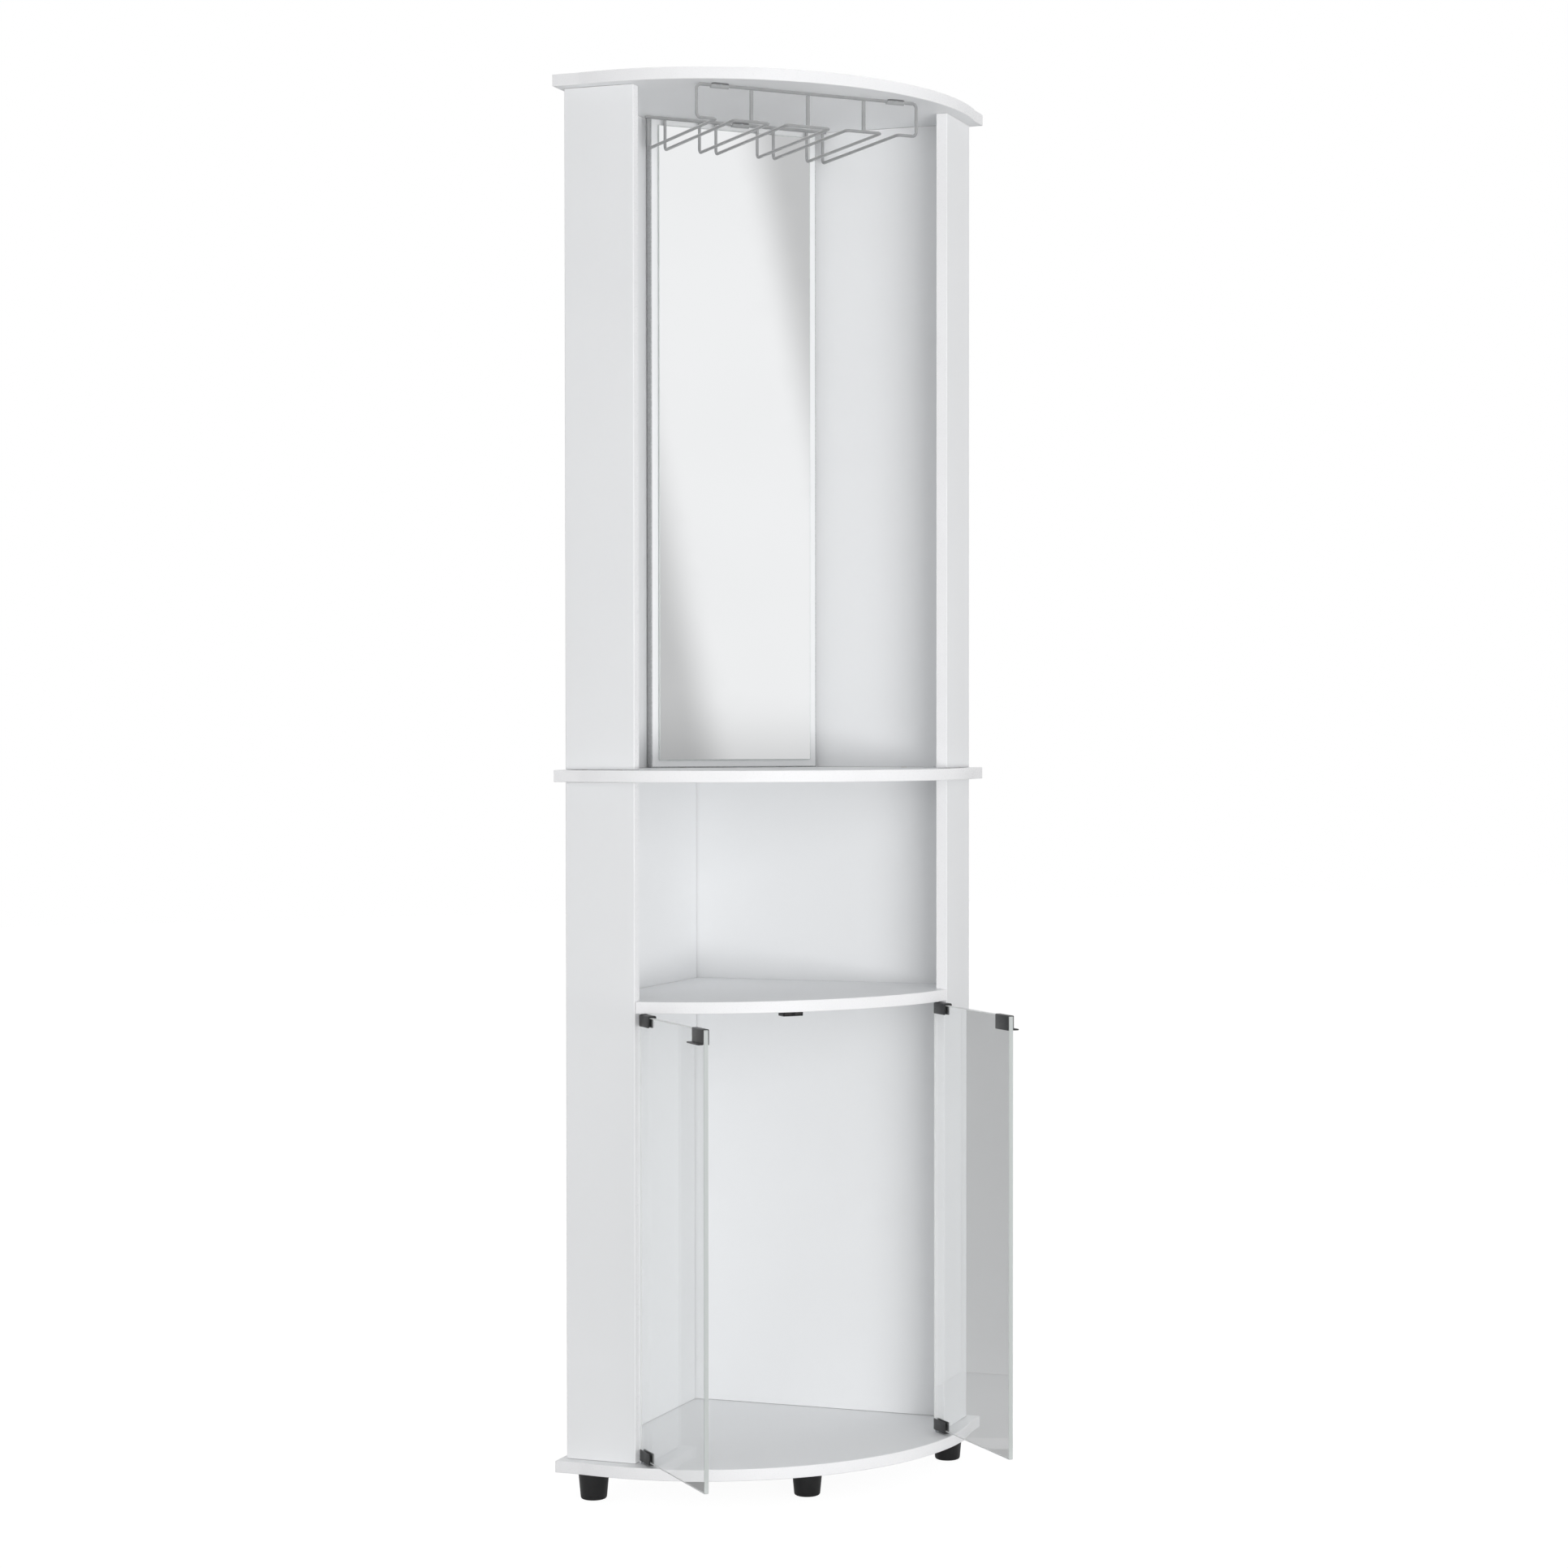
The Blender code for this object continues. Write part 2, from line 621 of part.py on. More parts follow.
def build_panels(shop):
    """Walls and returns of the upper and lower parts."""
    near, far = wall_span()
    inner, outer = CABINET_DEPTH - BOARD_THICKNESS, CABINET_DEPTH
    footprints = {
        "left_wall": ((near, WALL_INSET), (far, WALL_FACE)),
        "right_wall": ((WALL_INSET, WALL_INSET), (WALL_FACE, far)),
        "left_return": ((inner, 0), (outer, RETURN_WIDTH)),
        "right_return": ((0, inner), (RETURN_WIDTH, outer)),
    }
    half_grip = (BOARD_THICKNESS - DOWEL_END_GAP) / 2
    for part, bottom, top, low_grip, high_grip in (
            ("upper", MIDDLE_BOARD_TOP, TOP_BOARD_UNDER, half_grip, DOWEL_GRIP),
            ("lower", BOTTOM_BOARD_TOP, MIDDLE_BOARD_UNDER, DOWEL_GRIP, half_grip)):
        for side, (low, high) in footprints.items():
            name = f"{part}_{side}"
            item = span_box(shop, name, (*low, bottom + SEAT_GAP), (*high, top - SEAT_GAP),
                            "board", shop.plan)
            ease_edges(item, EDGE_EASE)
            dowels = []
            for x, y in panel_dowel_places()[side]:
                dowels.append(((x, y, bottom), (0, 0, -1), low_grip, DOWEL_RADIUS))
                dowels.append(((x, y, top), (0, 0, 1), high_grip, DOWEL_RADIUS))
            fit_dowels(shop, item, name + "_dowels", dowels)
            if part == "lower":
                drill(shop, item, name + "_holes",
                      [(mouth, direction, DOWEL_GRIP + DOWEL_END_GAP, DOWEL_RADIUS + SEAT_GAP)
                       for mouth, direction in shelf_dowel_places()[side]])


def build_mirror(shop):
    """The upright board across the upper corner, its mirror and the tape behind the mirror."""
    half = backing_half_width()
    bottom, top = MIDDLE_BOARD_TOP + SEAT_GAP, TOP_BOARD_UNDER - SEAT_GAP
    backing = span_box(shop, "mirror_backing_board", (-half, -MIRROR_PLANE, bottom),
                       (half, BOARD_THICKNESS - MIRROR_PLANE, top), "board", shop.diagonal)
    ease_edges(backing, EDGE_EASE)
    forward = MIRROR_PLANE - BOARD_THICKNESS / 2
    dowels = []
    for side in (-half * BACKING_DOWEL_SHARE, half * BACKING_DOWEL_SHARE):
        dowels.append(((side, -forward, MIDDLE_BOARD_TOP), (0, 0, -1), DOWEL_GRIP, DOWEL_RADIUS))
        dowels.append(((side, -forward, TOP_BOARD_UNDER), (0, 0, 1), DOWEL_GRIP, DOWEL_RADIUS))
    fit_dowels(shop, backing, "mirror_backing_board_dowels", dowels)

    glass_half = half - MIRROR_INSET
    low, high = MIDDLE_BOARD_TOP + MIRROR_INSET, TOP_BOARD_UNDER - MIRROR_INSET
    rear = MIRROR_PLANE + TAPE_THICKNESS + 2 * LINER_GAP
    mirror = span_box(shop, "mirror_glass", (-glass_half, -rear - MIRROR_THICKNESS, low),
                      (glass_half, -rear, high), "mirror", shop.diagonal)
    ease_edges(mirror, GLASS_ARRIS)

    for name, sign in (("mirror_left_tape", -1), ("mirror_right_tape", 1)):
        middle = sign * glass_half * TAPE_SIDE_SHARE
        near = MIRROR_PLANE + LINER_GAP
        span_box(shop, name,
                 (middle - TAPE_WIDTH / 2, -near - TAPE_THICKNESS, low + TAPE_END_MARGIN),
                 (middle + TAPE_WIDTH / 2, -near, high - TAPE_END_MARGIN), "foam",
                 shop.diagonal)


def build_feet(shop):
    """Tapered feet, each held by a screw up into the bottom board."""
    rim = [(FOOT_BOTTOM_RADIUS - FOOT_RIM_RADIUS + FOOT_RIM_RADIUS * math.cos(a),
            FOOT_RIM_RADIUS - FOOT_RIM_RADIUS * math.sin(a))
           for a in (math.radians(90 * i / ROUND_STEPS) for i in range(ROUND_STEPS + 1))]
    top = FOOT_HEIGHT - SEAT_GAP
    profile = [(FOOT_BORE_RADIUS, top), (FOOT_TOP_RADIUS, top), *rim, (FOOT_RECESS_RADIUS, 0),
               (FOOT_RECESS_RADIUS, FOOT_RECESS_DEPTH), (FOOT_BORE_RADIUS, FOOT_RECESS_DEPTH)]
    foot = turned_mesh(shop, "foot", profile, TURN_STEPS, closed=True)
    for name, (x, y) in foot_places().items():
        shop.add(name, foot.copy(), "foot", shop.plan, (x, y, 0), smooth=True)
    seat = FOOT_RECESS_DEPTH - SEAT_GAP
    profile = screw_profile(FOOT_SCREW_RADIUS, FOOT_SCREW_HEAD_RADIUS, FOOT_SCREW_HEAD_HEIGHT,
                            FOOT_HEIGHT + FOOT_SCREW_GRIP - seat)
    screw = turned_mesh(shop, "foot_screw", profile, DRILL_STEPS)
    for name, (x, y) in foot_places().items():
        shop.add(name + "_screw", screw.copy(), "steel", shop.plan, (x, y, seat), smooth=True)


def channel_mesh(shop, name, outline, length):
    """Give a channel: the outline's shape across the door, run along the door from zero."""
    mesh = plate_mesh(shop, name, outline, length)
    along = Matrix(((0, 0, 1, length / 2), (1, 0, 0, 0), (0, 1, 0, 0), (0, 0, 0, 1)))
    mesh.transform(along)
    return mesh


def clamp_outline():
    """U section of a hinge clamp over the glass edge, which lies at zero height."""
    web = LINER_THICKNESS + 2 * LINER_GAP
    return u_outline(GLASS_THICKNESS / 2 + web, web, CLAMP_SHEET, CLAMP_LEG_HEIGHT, CLAMP_EASE)


def liner_outline():
    """U section of the plastic liner between a clamp and the glass."""
    return u_outline(GLASS_THICKNESS / 2 + LINER_GAP, LINER_GAP, LINER_THICKNESS,
                     CLAMP_LEG_HEIGHT - LINER_MARGIN, LINER_EASE)


def u_outline(inner, web, sheet, leg_height, ease):
    """U section that opens downwards, with its web above the glass edge and eased shoulders."""
    outer, top = inner + sheet, web + sheet
    return [(ease - outer, top), (-outer, top - ease), (-outer, -leg_height),
            (-inner, -leg_height), (-inner, web), (inner, web), (inner, -leg_height),
            (outer, -leg_height), (outer, top - ease), (outer - ease, top)]


def strike_outline(inward):
    """Section of a strike clip: a U over the glass edge with a finger lip on its outer leg."""
    inner = GLASS_THICKNESS / 2 + LINER_GAP
    outer = inner + STRIKE_SHEET
    web, leg = LINER_GAP, LINER_GAP - STRIKE_HEIGHT
    top = web + STRIKE_SHEET
    points = [(-outer, top), (-outer, leg), (-inner, leg), (-inner, web), (inner, web),
              (inner, leg), (outer + STRIKE_LIP, leg), (outer + STRIKE_LIP, leg + STRIKE_SHEET),
              (outer, leg + STRIKE_SHEET), (outer, top)]
    return [(-inward * x, y) for x, y in points]


def build_door(shop, side, inward):
    """One glass door, built along +x from its pivot axis and turned to stand open."""
    sign = -1 if side == "left" else 1
    location = (sign * PIVOT_SIDE, CORNER_Y - PIVOT_FORWARD, 0)
    axis = shop.empty(side + "_door_axis", location, math.radians(-90))
    half = GLASS_THICKNESS / 2
    glass = span_box(shop, side + "_door_glass", (-PIN_SETBACK, -half, GLASS_BOTTOM),
                     (DOOR_REACH, half, GLASS_TOP), "glass", axis)
    ease_edges(glass, GLASS_ARRIS)

    web_near = LINER_THICKNESS + 2 * LINER_GAP
    for place, edge, flip in (("top", GLASS_TOP, 1), ("bottom", GLASS_BOTTOM, -1)):
        name = f"{side}_door_{place}_clamp"
        mesh = channel_mesh(shop, name, [(x, flip * y) for x, y in clamp_outline()],
                            CLAMP_LENGTH)
        clamp = shop.add(name, mesh, "black", axis, (-CLAMP_START, 0, edge))
        bore = PIN_RADIUS + SEAT_GAP
        drill(shop, clamp, name + "_hole",
              [((0, 0, edge + flip * web_near), (0, 0, flip), CLAMP_SHEET + CUT_OVERRUN, bore)],
              SMALL_STEPS)
        mesh = channel_mesh(shop, name + "_liner", [(x, flip * y) for x, y in liner_outline()],
                            CLAMP_LENGTH - 2 * LINER_MARGIN)
        shop.add(name + "_liner", mesh, "rubber", axis, (LINER_MARGIN - CLAMP_START, 0, edge))

    foot = GLASS_TOP + LINER_GAP + LINER_THICKNESS + SEAT_GAP
    tip = SHELF_UNDER + PIN_GRIP
    mesh = turned_mesh(shop, side + "_door_top_pin", pin_profile(PIN_RADIUS, foot, tip),
                       SMALL_STEPS)
    shop.add(side + "_door_top_pin", mesh, "steel", axis, smooth=True)
    foot = GLASS_BOTTOM - LINER_GAP - LINER_THICKNESS - SEAT_GAP
    tip = BOTTOM_BOARD_TOP - PIN_GRIP
    mesh = turned_mesh(shop, side + "_door_bottom_pin", pin_profile(PIN_RADIUS, tip, foot),
                       SMALL_STEPS)
    shop.add(side + "_door_bottom_pin", mesh, "steel", axis, smooth=True)

    name = side + "_door_strike_clip"
    mesh = channel_mesh(shop, name, strike_outline(inward), STRIKE_LENGTH)
    shop.add(name, mesh, "black", axis,
             (DOOR_REACH - STRIKE_END_INSET - STRIKE_LENGTH, 0, GLASS_TOP))


def build_bushes(shop):
    """Sleeves for the pivot pins: plain ones in the shelf, flanged ones that carry the doors."""
    bore = PIN_RADIUS + SEAT_GAP
    barrel = bore + BUSH_WALL
    low, high = SHELF_UNDER, SHELF_UNDER + BUSH_LENGTH
    profile = [(bore, high), (barrel, high), (barrel, low), (bore, low)]
    plain = turned_mesh(shop, "plain_bush", profile, SMALL_STEPS, closed=True)
    flange_low = BOTTOM_BOARD_TOP + SEAT_GAP
    clamp_under = GLASS_BOTTOM - LINER_THICKNESS - 2 * LINER_GAP - CLAMP_SHEET
    flange_top = clamp_under - SEAT_GAP
    low = BOTTOM_BOARD_TOP - BUSH_LENGTH
    profile = [(bore, flange_top), (BUSH_FLANGE_RADIUS, flange_top),
               (BUSH_FLANGE_RADIUS, flange_low), (barrel, flange_low), (barrel, low),
               (bore, low)]
    flanged = turned_mesh(shop, "flanged_bush", profile, SMALL_STEPS, closed=True)
    for side, (x, y) in zip(("left", "right"), pivot_places()):
        shop.add(side + "_shelf_bush", plain.copy(), "steel", shop.plan, (x, y, 0), smooth=True)
        shop.add(side + "_floor_bush", flanged.copy(), "steel", shop.plan, (x, y, 0),
                 smooth=True)


def build_catch(shop):
    """Double magnetic catch under the niche shelf, where the two strike clips meet it."""
    front = catch_front()
    top = SHELF_UNDER - SEAT_GAP
    bottom = SHELF_UNDER - CATCH_HEIGHT
    body = span_box(shop, "magnetic_catch_body", (-CATCH_WIDTH / 2, -front, bottom),
                    (CATCH_WIDTH / 2, CATCH_DEPTH - front, top), "foot", shop.diagonal)
    ease_edges(body, CATCH_EASE)
    middle = (top + bottom) / 2
    pocket_width = MAGNET_WIDTH + 2 * POLE_PLATE + 2 * SEAT_GAP
    pocket_depth = MAGNET_DEPTH + SEAT_GAP + CUT_OVERRUN
    pocket = box_mesh("pocket", (pocket_width, pocket_depth, MAGNET_HEIGHT + 2 * SEAT_GAP))
    centres = (-CATCH_WIDTH * MAGNET_PLACE_SHARE, CATCH_WIDTH * MAGNET_PLACE_SHARE)
    depth_place = -front - CUT_OVERRUN + pocket_depth / 2
    mesh = copies_mesh("magnetic_catch_pockets", pocket,
                       [Matrix.Translation((x, depth_place, middle)) for x in centres])
    cut(body, shop.add_cutter("magnetic_catch_pockets", mesh, shop.diagonal))
    head = CATCH_SCREW_HEAD_HEIGHT + SEAT_GAP
    holes = []
    for x, y in catch_screw_places():
        holes.append(((x, y, bottom), (0, 0, 1), CATCH_HEIGHT + CUT_OVERRUN,
                      CATCH_SCREW_RADIUS + SEAT_GAP))
    drill(shop, body, "magnetic_catch_screw_holes", holes)
    drill(shop, body, "magnetic_catch_head_holes",
          [((x, y, bottom), (0, 0, 1), head, CATCH_SCREW_HEAD_RADIUS + SEAT_GAP)
           for x, y in catch_screw_places()])

    rear = MAGNET_DEPTH - front
    low, high = middle - MAGNET_HEIGHT / 2, middle + MAGNET_HEIGHT / 2
    for name, x in zip(("catch_left_magnet", "catch_right_magnet"), centres):
        edge = MAGNET_WIDTH / 2 + POLE_PLATE
        magnet = span_box(shop, name, (x - edge, -front - POLE_PROUD, low), (x + edge, rear, high),
                          "magnet", shop.diagonal)
        recess = box_mesh(name + "_recess", (MAGNET_WIDTH, 2 * POLE_PROUD,
                                             MAGNET_HEIGHT + CUT_OVERRUN))
        cut(magnet, shop.add_cutter(name + "_recess", recess, shop.diagonal,
                                    (x, -front - POLE_PROUD, middle)))
    seat = bottom + CATCH_SCREW_HEAD_HEIGHT
    profile = screw_profile(CATCH_SCREW_RADIUS, CATCH_SCREW_HEAD_RADIUS,
                            CATCH_SCREW_HEAD_HEIGHT, SHELF_UNDER + CATCH_SCREW_GRIP - seat)
    screw = turned_mesh(shop, "catch_screw", profile, DRILL_STEPS)
    for name, (x, y) in zip(("catch_left_screw", "catch_right_screw"), catch_screw_places()):
        shop.add(name, screw.copy(), "steel", shop.diagonal, (x, y, seat), smooth=True)


def rounded_path(points, radius, steps):
    """Round each inner corner of a path of straight runs."""
    points = [Vector(point) for point in points]
    path = [points[0]]
    for before, corner, after in zip(points, points[1:], points[2:]):
        into, out = (before - corner).normalized(), (after - corner).normalized()
        half = into.angle(out) / 2
        centre = corner + (into + out).normalized() * radius / math.sin(half)
        first = corner + into * radius / math.tan(half) - centre
        last = corner + out * radius / math.tan(half) - centre
        axis, sweep = first.cross(last), first.angle(last)
        for i in range(steps + 1):
            path.append(centre + Matrix.Rotation(sweep * i / steps, 3, axis) @ first)
    path.append(points[-1])
    return path


def wire_curve(name, path):
    """Give the curve of a round wire along a path."""
    curve = bpy.data.curves.new(name, "CURVE")
    curve.dimensions = "3D"
    curve.bevel_depth = WIRE_RADIUS
    curve.bevel_resolution = 2
    curve.use_fill_caps = True
    spline = curve.splines.new("POLY")
    spline.points.add(len(path) - 1)
    for point, place in zip(spline.points, path):
        point.co = (*place, 1)
    spline.use_smooth = True
    return curve


def add_wire(shop, name, path):
    """Add a round wire along a path."""
    curve = wire_curve(name, path)
    curve.materials.append(shop.materials["wire"])
    item = bpy.data.objects.new(name, curve)
    item.parent = shop.diagonal
    shop.parts.objects.link(item)


def wire_mesh(shop, name, path):
    """Give the closed mesh of a round wire along a path."""
    item = bpy.data.objects.new(name, wire_curve(name, path))
    shop.cutters.objects.link(item)
    mesh = shop.evaluated_mesh(item, name)
    bm = bmesh.new()
    bm.from_mesh(mesh)
    bmesh.ops.remove_doubles(bm, verts=bm.verts, dist=WELD_DISTANCE)
    bmesh.ops.recalc_face_normals(bm, faces=bm.faces)
    bm.to_mesh(mesh)
    bm.free()
    return mesh


def build_rack(shop):
    """Stemware rack of bent wire: hairpin rails welded between a front and a rear bar."""
    inner, second, third, outer, end = rack_sides()
    front, rear = -rack_front(), -rack_rear()
    bar = TOP_BOARD_UNDER - SEAT_GAP - WIRE_RADIUS
    rail = bar - RACK_DROP
    under_bar = bar - WIRE_RADIUS - SEAT_GAP

    path = [(-outer, rear, under_bar), (-outer, rear, rail), (-outer, front, rail),
            (-end, front, rail), (-end, front, bar), (end, front, bar), (end, front, rail),
            (outer, front, rail), (outer, rear, rail), (outer, rear, under_bar)]
    add_wire(shop, "rack_outer_wire", rounded_path(path, WIRE_BEND, BEND_STEPS))
    for name, left, right in (("rack_left_hairpin", -third, -second),
                              ("rack_middle_hairpin", -inner, inner),
                              ("rack_right_hairpin", second, third)):
        path = [(left, rear, under_bar), (left, rear, rail), (left, front, rail),
                (right, front, rail), (right, rear, rail), (right, rear, under_bar)]
        mesh = wire_mesh(shop, name, rounded_path(path, WIRE_BEND, BEND_STEPS))
        hairpin = shop.add(name, mesh, "wire", shop.diagonal, smooth=True)
        middle = (left + right) / 2
        post = wire_mesh(shop, name + "_post", [(middle, front, under_bar),
                                                (middle, front, rail)])
        cut(hairpin, shop.add_cutter(name + "_post", post, shop.diagonal), "UNION")
    bar_end = outer + REAR_BAR_OVERRUN
    add_wire(shop, "rack_rear_bar", [(-bar_end, rear, bar), (bar_end, rear, bar)])


def clip_outline():
    """Section of a saddle clip across its bar, with the face against the board at zero."""
    centre = -WIRE_RADIUS
    groove = WIRE_RADIUS + SEAT_GAP
    hump = groove + CLIP_SHEET
    half = CLIP_WIDTH / 2
    return [(-half, 0), (-half, -CLIP_SHEET), (-hump, -CLIP_SHEET),
            *half_turn(hump, centre, 180, 360, ROUND_STEPS), (hump, -CLIP_SHEET),
            (half, -CLIP_SHEET), (half, 0), (groove, 0),
            *half_turn(groove, centre, 360, 180, ROUND_STEPS), (-groove, 0)]


def build_clips(shop):
    """Saddle clips over the rack's bars and the small screws that hold them."""
    face = TOP_BOARD_UNDER - SEAT_GAP
    for name, (x, y) in clip_places().items():
        mesh = channel_mesh(shop, name, clip_outline(), CLIP_LENGTH)
        mesh.transform(Matrix.Translation((-CLIP_LENGTH / 2, 0, 0)))
        clip = shop.add(name, mesh, "wire", shop.diagonal, (x, y, face))
        blank = plate_mesh(shop, name + "_blank", rounded_rectangle(
            CLIP_LENGTH, CLIP_WIDTH, CLIP_CORNER, ROUND_STEPS), RACK_DROP)
        cut(clip, shop.add_cutter(name + "_blank", blank, shop.diagonal, (x, y, face)),
            "INTERSECT")
        offset = CLIP_WIDTH / 2 * CLIP_SCREW_SHARE
        drill(shop, clip, name + "_hole",
              [((x, y - offset, face - CLIP_SHEET), (0, 0, 1),
                CLIP_SHEET + CUT_OVERRUN, CLIP_SCREW_RADIUS + SEAT_GAP)])
    seat = face - CLIP_SHEET - SEAT_GAP
    profile = screw_profile(CLIP_SCREW_RADIUS, CLIP_SCREW_HEAD_RADIUS, CLIP_SCREW_HEAD_HEIGHT,
                            TOP_BOARD_UNDER + CLIP_SCREW_GRIP - seat)
    screw = turned_mesh(shop, "clip_screw", profile, DRILL_STEPS)
    for name, (x, y) in zip(clip_places(), clip_screw_places()):
        shop.add(name + "_screw", screw.copy(), "steel", shop.diagonal, (x, y, seat),
                 smooth=True)


def main():
    """Build the whole cabinet."""
    shop = Workshop()
    build_boards(shop)
    build_panels(shop)
    build_mirror(shop)
    build_feet(shop)
    build_door(shop, "left", 1)
    build_door(shop, "right", -1)
    build_bushes(shop)
    build_catch(shop)
    build_rack(shop)
    build_clips(shop)
    bpy.context.view_layer.update()


if __name__ == "__main__":
    main()
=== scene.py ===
"""Looks of the corner bar cabinet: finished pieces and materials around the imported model.

Lengths are metres, +Z is up and the bowed front faces -Y. The plan frame starts in the rear
corner: its x runs along the left wall and its y along the right wall.
"""

import logging
import math
from dataclasses import dataclass
from enum import Enum
from typing import Any, Iterable, Sequence

import bmesh
import bpy
from mathutils import Matrix, Vector


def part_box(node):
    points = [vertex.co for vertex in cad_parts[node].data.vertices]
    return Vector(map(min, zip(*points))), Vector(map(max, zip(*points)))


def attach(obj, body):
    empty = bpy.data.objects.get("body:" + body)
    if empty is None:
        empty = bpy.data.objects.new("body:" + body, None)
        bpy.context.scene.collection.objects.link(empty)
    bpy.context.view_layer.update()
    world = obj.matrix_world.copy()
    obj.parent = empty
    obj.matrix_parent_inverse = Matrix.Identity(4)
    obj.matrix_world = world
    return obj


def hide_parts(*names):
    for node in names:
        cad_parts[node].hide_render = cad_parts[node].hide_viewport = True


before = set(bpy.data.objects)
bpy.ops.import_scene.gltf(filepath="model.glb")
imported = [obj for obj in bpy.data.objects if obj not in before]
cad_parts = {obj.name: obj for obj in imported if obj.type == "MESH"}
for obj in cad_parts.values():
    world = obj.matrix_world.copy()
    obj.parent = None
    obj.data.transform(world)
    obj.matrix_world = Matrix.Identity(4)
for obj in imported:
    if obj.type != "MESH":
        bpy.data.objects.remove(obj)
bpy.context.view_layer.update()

logging.basicConfig(level=logging.INFO, format="%(message)s")
LOG = logging.getLogger("corner_bar_cabinet")

Shape = bmesh.types.BMesh
Vert = bmesh.types.BMVert
Edge = bmesh.types.BMEdge
Tree = bpy.types.NodeTree
Socket = bpy.types.NodeSocket
Point = Sequence[float]
Pair = tuple[float, float]

MM = 0.001
ROOT_TWO = math.sqrt(2.0)
UP = Vector((0.0, 0.0, 1.0))
# Closer points are one point.
WELD = 0.01 * MM
# Air between pieces that are pressed together.
SEAT_GAP = 0.3 * MM
# A face counts as square to an axis where its normal has at least this share along it.
SQUARE = 0.99
# Bend radius and rounding of cut edges, as shares of the sheet's thickness.
FOLD_SHARE = 0.8
EASE_SHARE = 0.17
# Edges that turn by more than this are rounded, and eased where a sheet was cut.
ROUNDED_TURN = math.radians(30)
CUT_TURN = math.radians(60)
# Degrees above which the shading stays sharp: on most pieces, moulded feet and folded steel.
SHARP = 35.0
SHARP_FOOT = 40.0
SHARP_FOLD = 50.0

# Plan sizes of the carcass
DEPTH = 405 * MM
RETURN_WIDTH = 95 * MM
REAR_OVERHANG = 9 * MM
FRONT_OVERHANG = 16 * MM
END_LENGTH = 33 * MM
FRONT_RISE = 141 * MM
SHELF_RISE = 68.5 * MM
WALL_INSET = 1 * MM

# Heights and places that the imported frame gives
TOP_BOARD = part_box("top_board")
MIDDLE_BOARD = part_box("middle_board")
BOTTOM_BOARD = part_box("bottom_board")
BOARD = TOP_BOARD[1].z - TOP_BOARD[0].z
CORNER_Y = TOP_BOARD[1].y - REAR_OVERHANG * ROOT_TWO
WALL_FACE = WALL_INSET + BOARD
# The plan frame: its corner is behind the middle, and both its axes run 45 degrees forward.
PLAN_TURN = math.radians(225)
PLAN = Matrix.Translation((0.0, CORNER_Y, 0.0)) @ Matrix.Rotation(PLAN_TURN, 4, "Z")


class Body(Enum):
    """The bodies that pieces ride on."""

    CABINET = "cabinet"
    LEFT_DOOR = "left_door"
    RIGHT_DOOR = "right_door"


class Grain(Enum):
    """Ways in which a surface is broken up."""

    PEARL = "pearl"
    BRUSHED = "brushed"
    FLECKED = "flecked"
    WOOD = "wood"


# Scale of the grain along an upright piece, as a share of its scale across.
STRETCH = {Grain.BRUSHED: 0.04, Grain.WOOD: 0.08}
# Noise of the fine grain, of the slow clouds in the colour and of the smears on glass, and the
# part of each that is spread over the whole range.
GRAIN_NOISE = {"Detail": 3.0, "Roughness": 0.55}
GRAIN_RANGE = {"From Min": 0.3, "From Max": 0.7}
CLOUD_NOISE = {"Detail": 2.0}
CLOUD_RANGE = {"From Min": 0.35, "From Max": 0.65}
SMEAR_NOISE = {"Detail": 4.0}
SMEAR_RANGE = {"From Min": 0.55, "From Max": 0.8}


def linear(hex_code: str) -> tuple[float, float, float, float]:
    """Turn an sRGB hex code into linear RGBA.

    Args:
        hex_code: Six hex digits.

    Returns:
        Linear red, green and blue with a full alpha.
    """
    channels = [int(hex_code[i:i + 2], 16) / 255 for i in (0, 2, 4)]
    values = [c / 12.92 if c <= 0.04045 else ((c + 0.055) / 1.055) ** 2.4 for c in channels]
    return (values[0], values[1], values[2], 1.0)


def connect(tree: Tree, node: bpy.types.Node, inputs: dict[Any, Any]) -> None:
    """Set or link inputs of a node.

    Args:
        tree: The node tree.
        node: The node.
        inputs: Values or sockets by input name or number.
    """
    for key, value in inputs.items():
        if isinstance(value, Socket):
            tree.links.new(value, node.inputs[key])
        else:
            node.inputs[key].default_value = value


def add_node(tree: Tree, kind: str, inputs: dict[Any, Any] | None = None,
             **settings: Any) -> bpy.types.Node:
    """Add a node with its settings, values and links.

    Args:
        tree: The node tree.
        kind: Blender's name of the node type.
        inputs: Values or sockets by input name or number.
        settings: Properties of the node.

    Returns:
        The new node.
    """
    node = tree.nodes.new(kind)
    for name, value in settings.items():
        setattr(node, name, value)
    connect(tree, node, inputs or {})
    return node


def start_material(name: str) -> tuple[bpy.types.Material, Tree, bpy.types.Node]:
    """Start a material.

    Args:
        name: Its name.

    Returns:
        The material, its node tree and its shader.
    """
    material = bpy.data.materials.new(name)
    material.use_nodes = True
    tree = material.node_tree
    return material, tree, tree.nodes["Principled BSDF"]


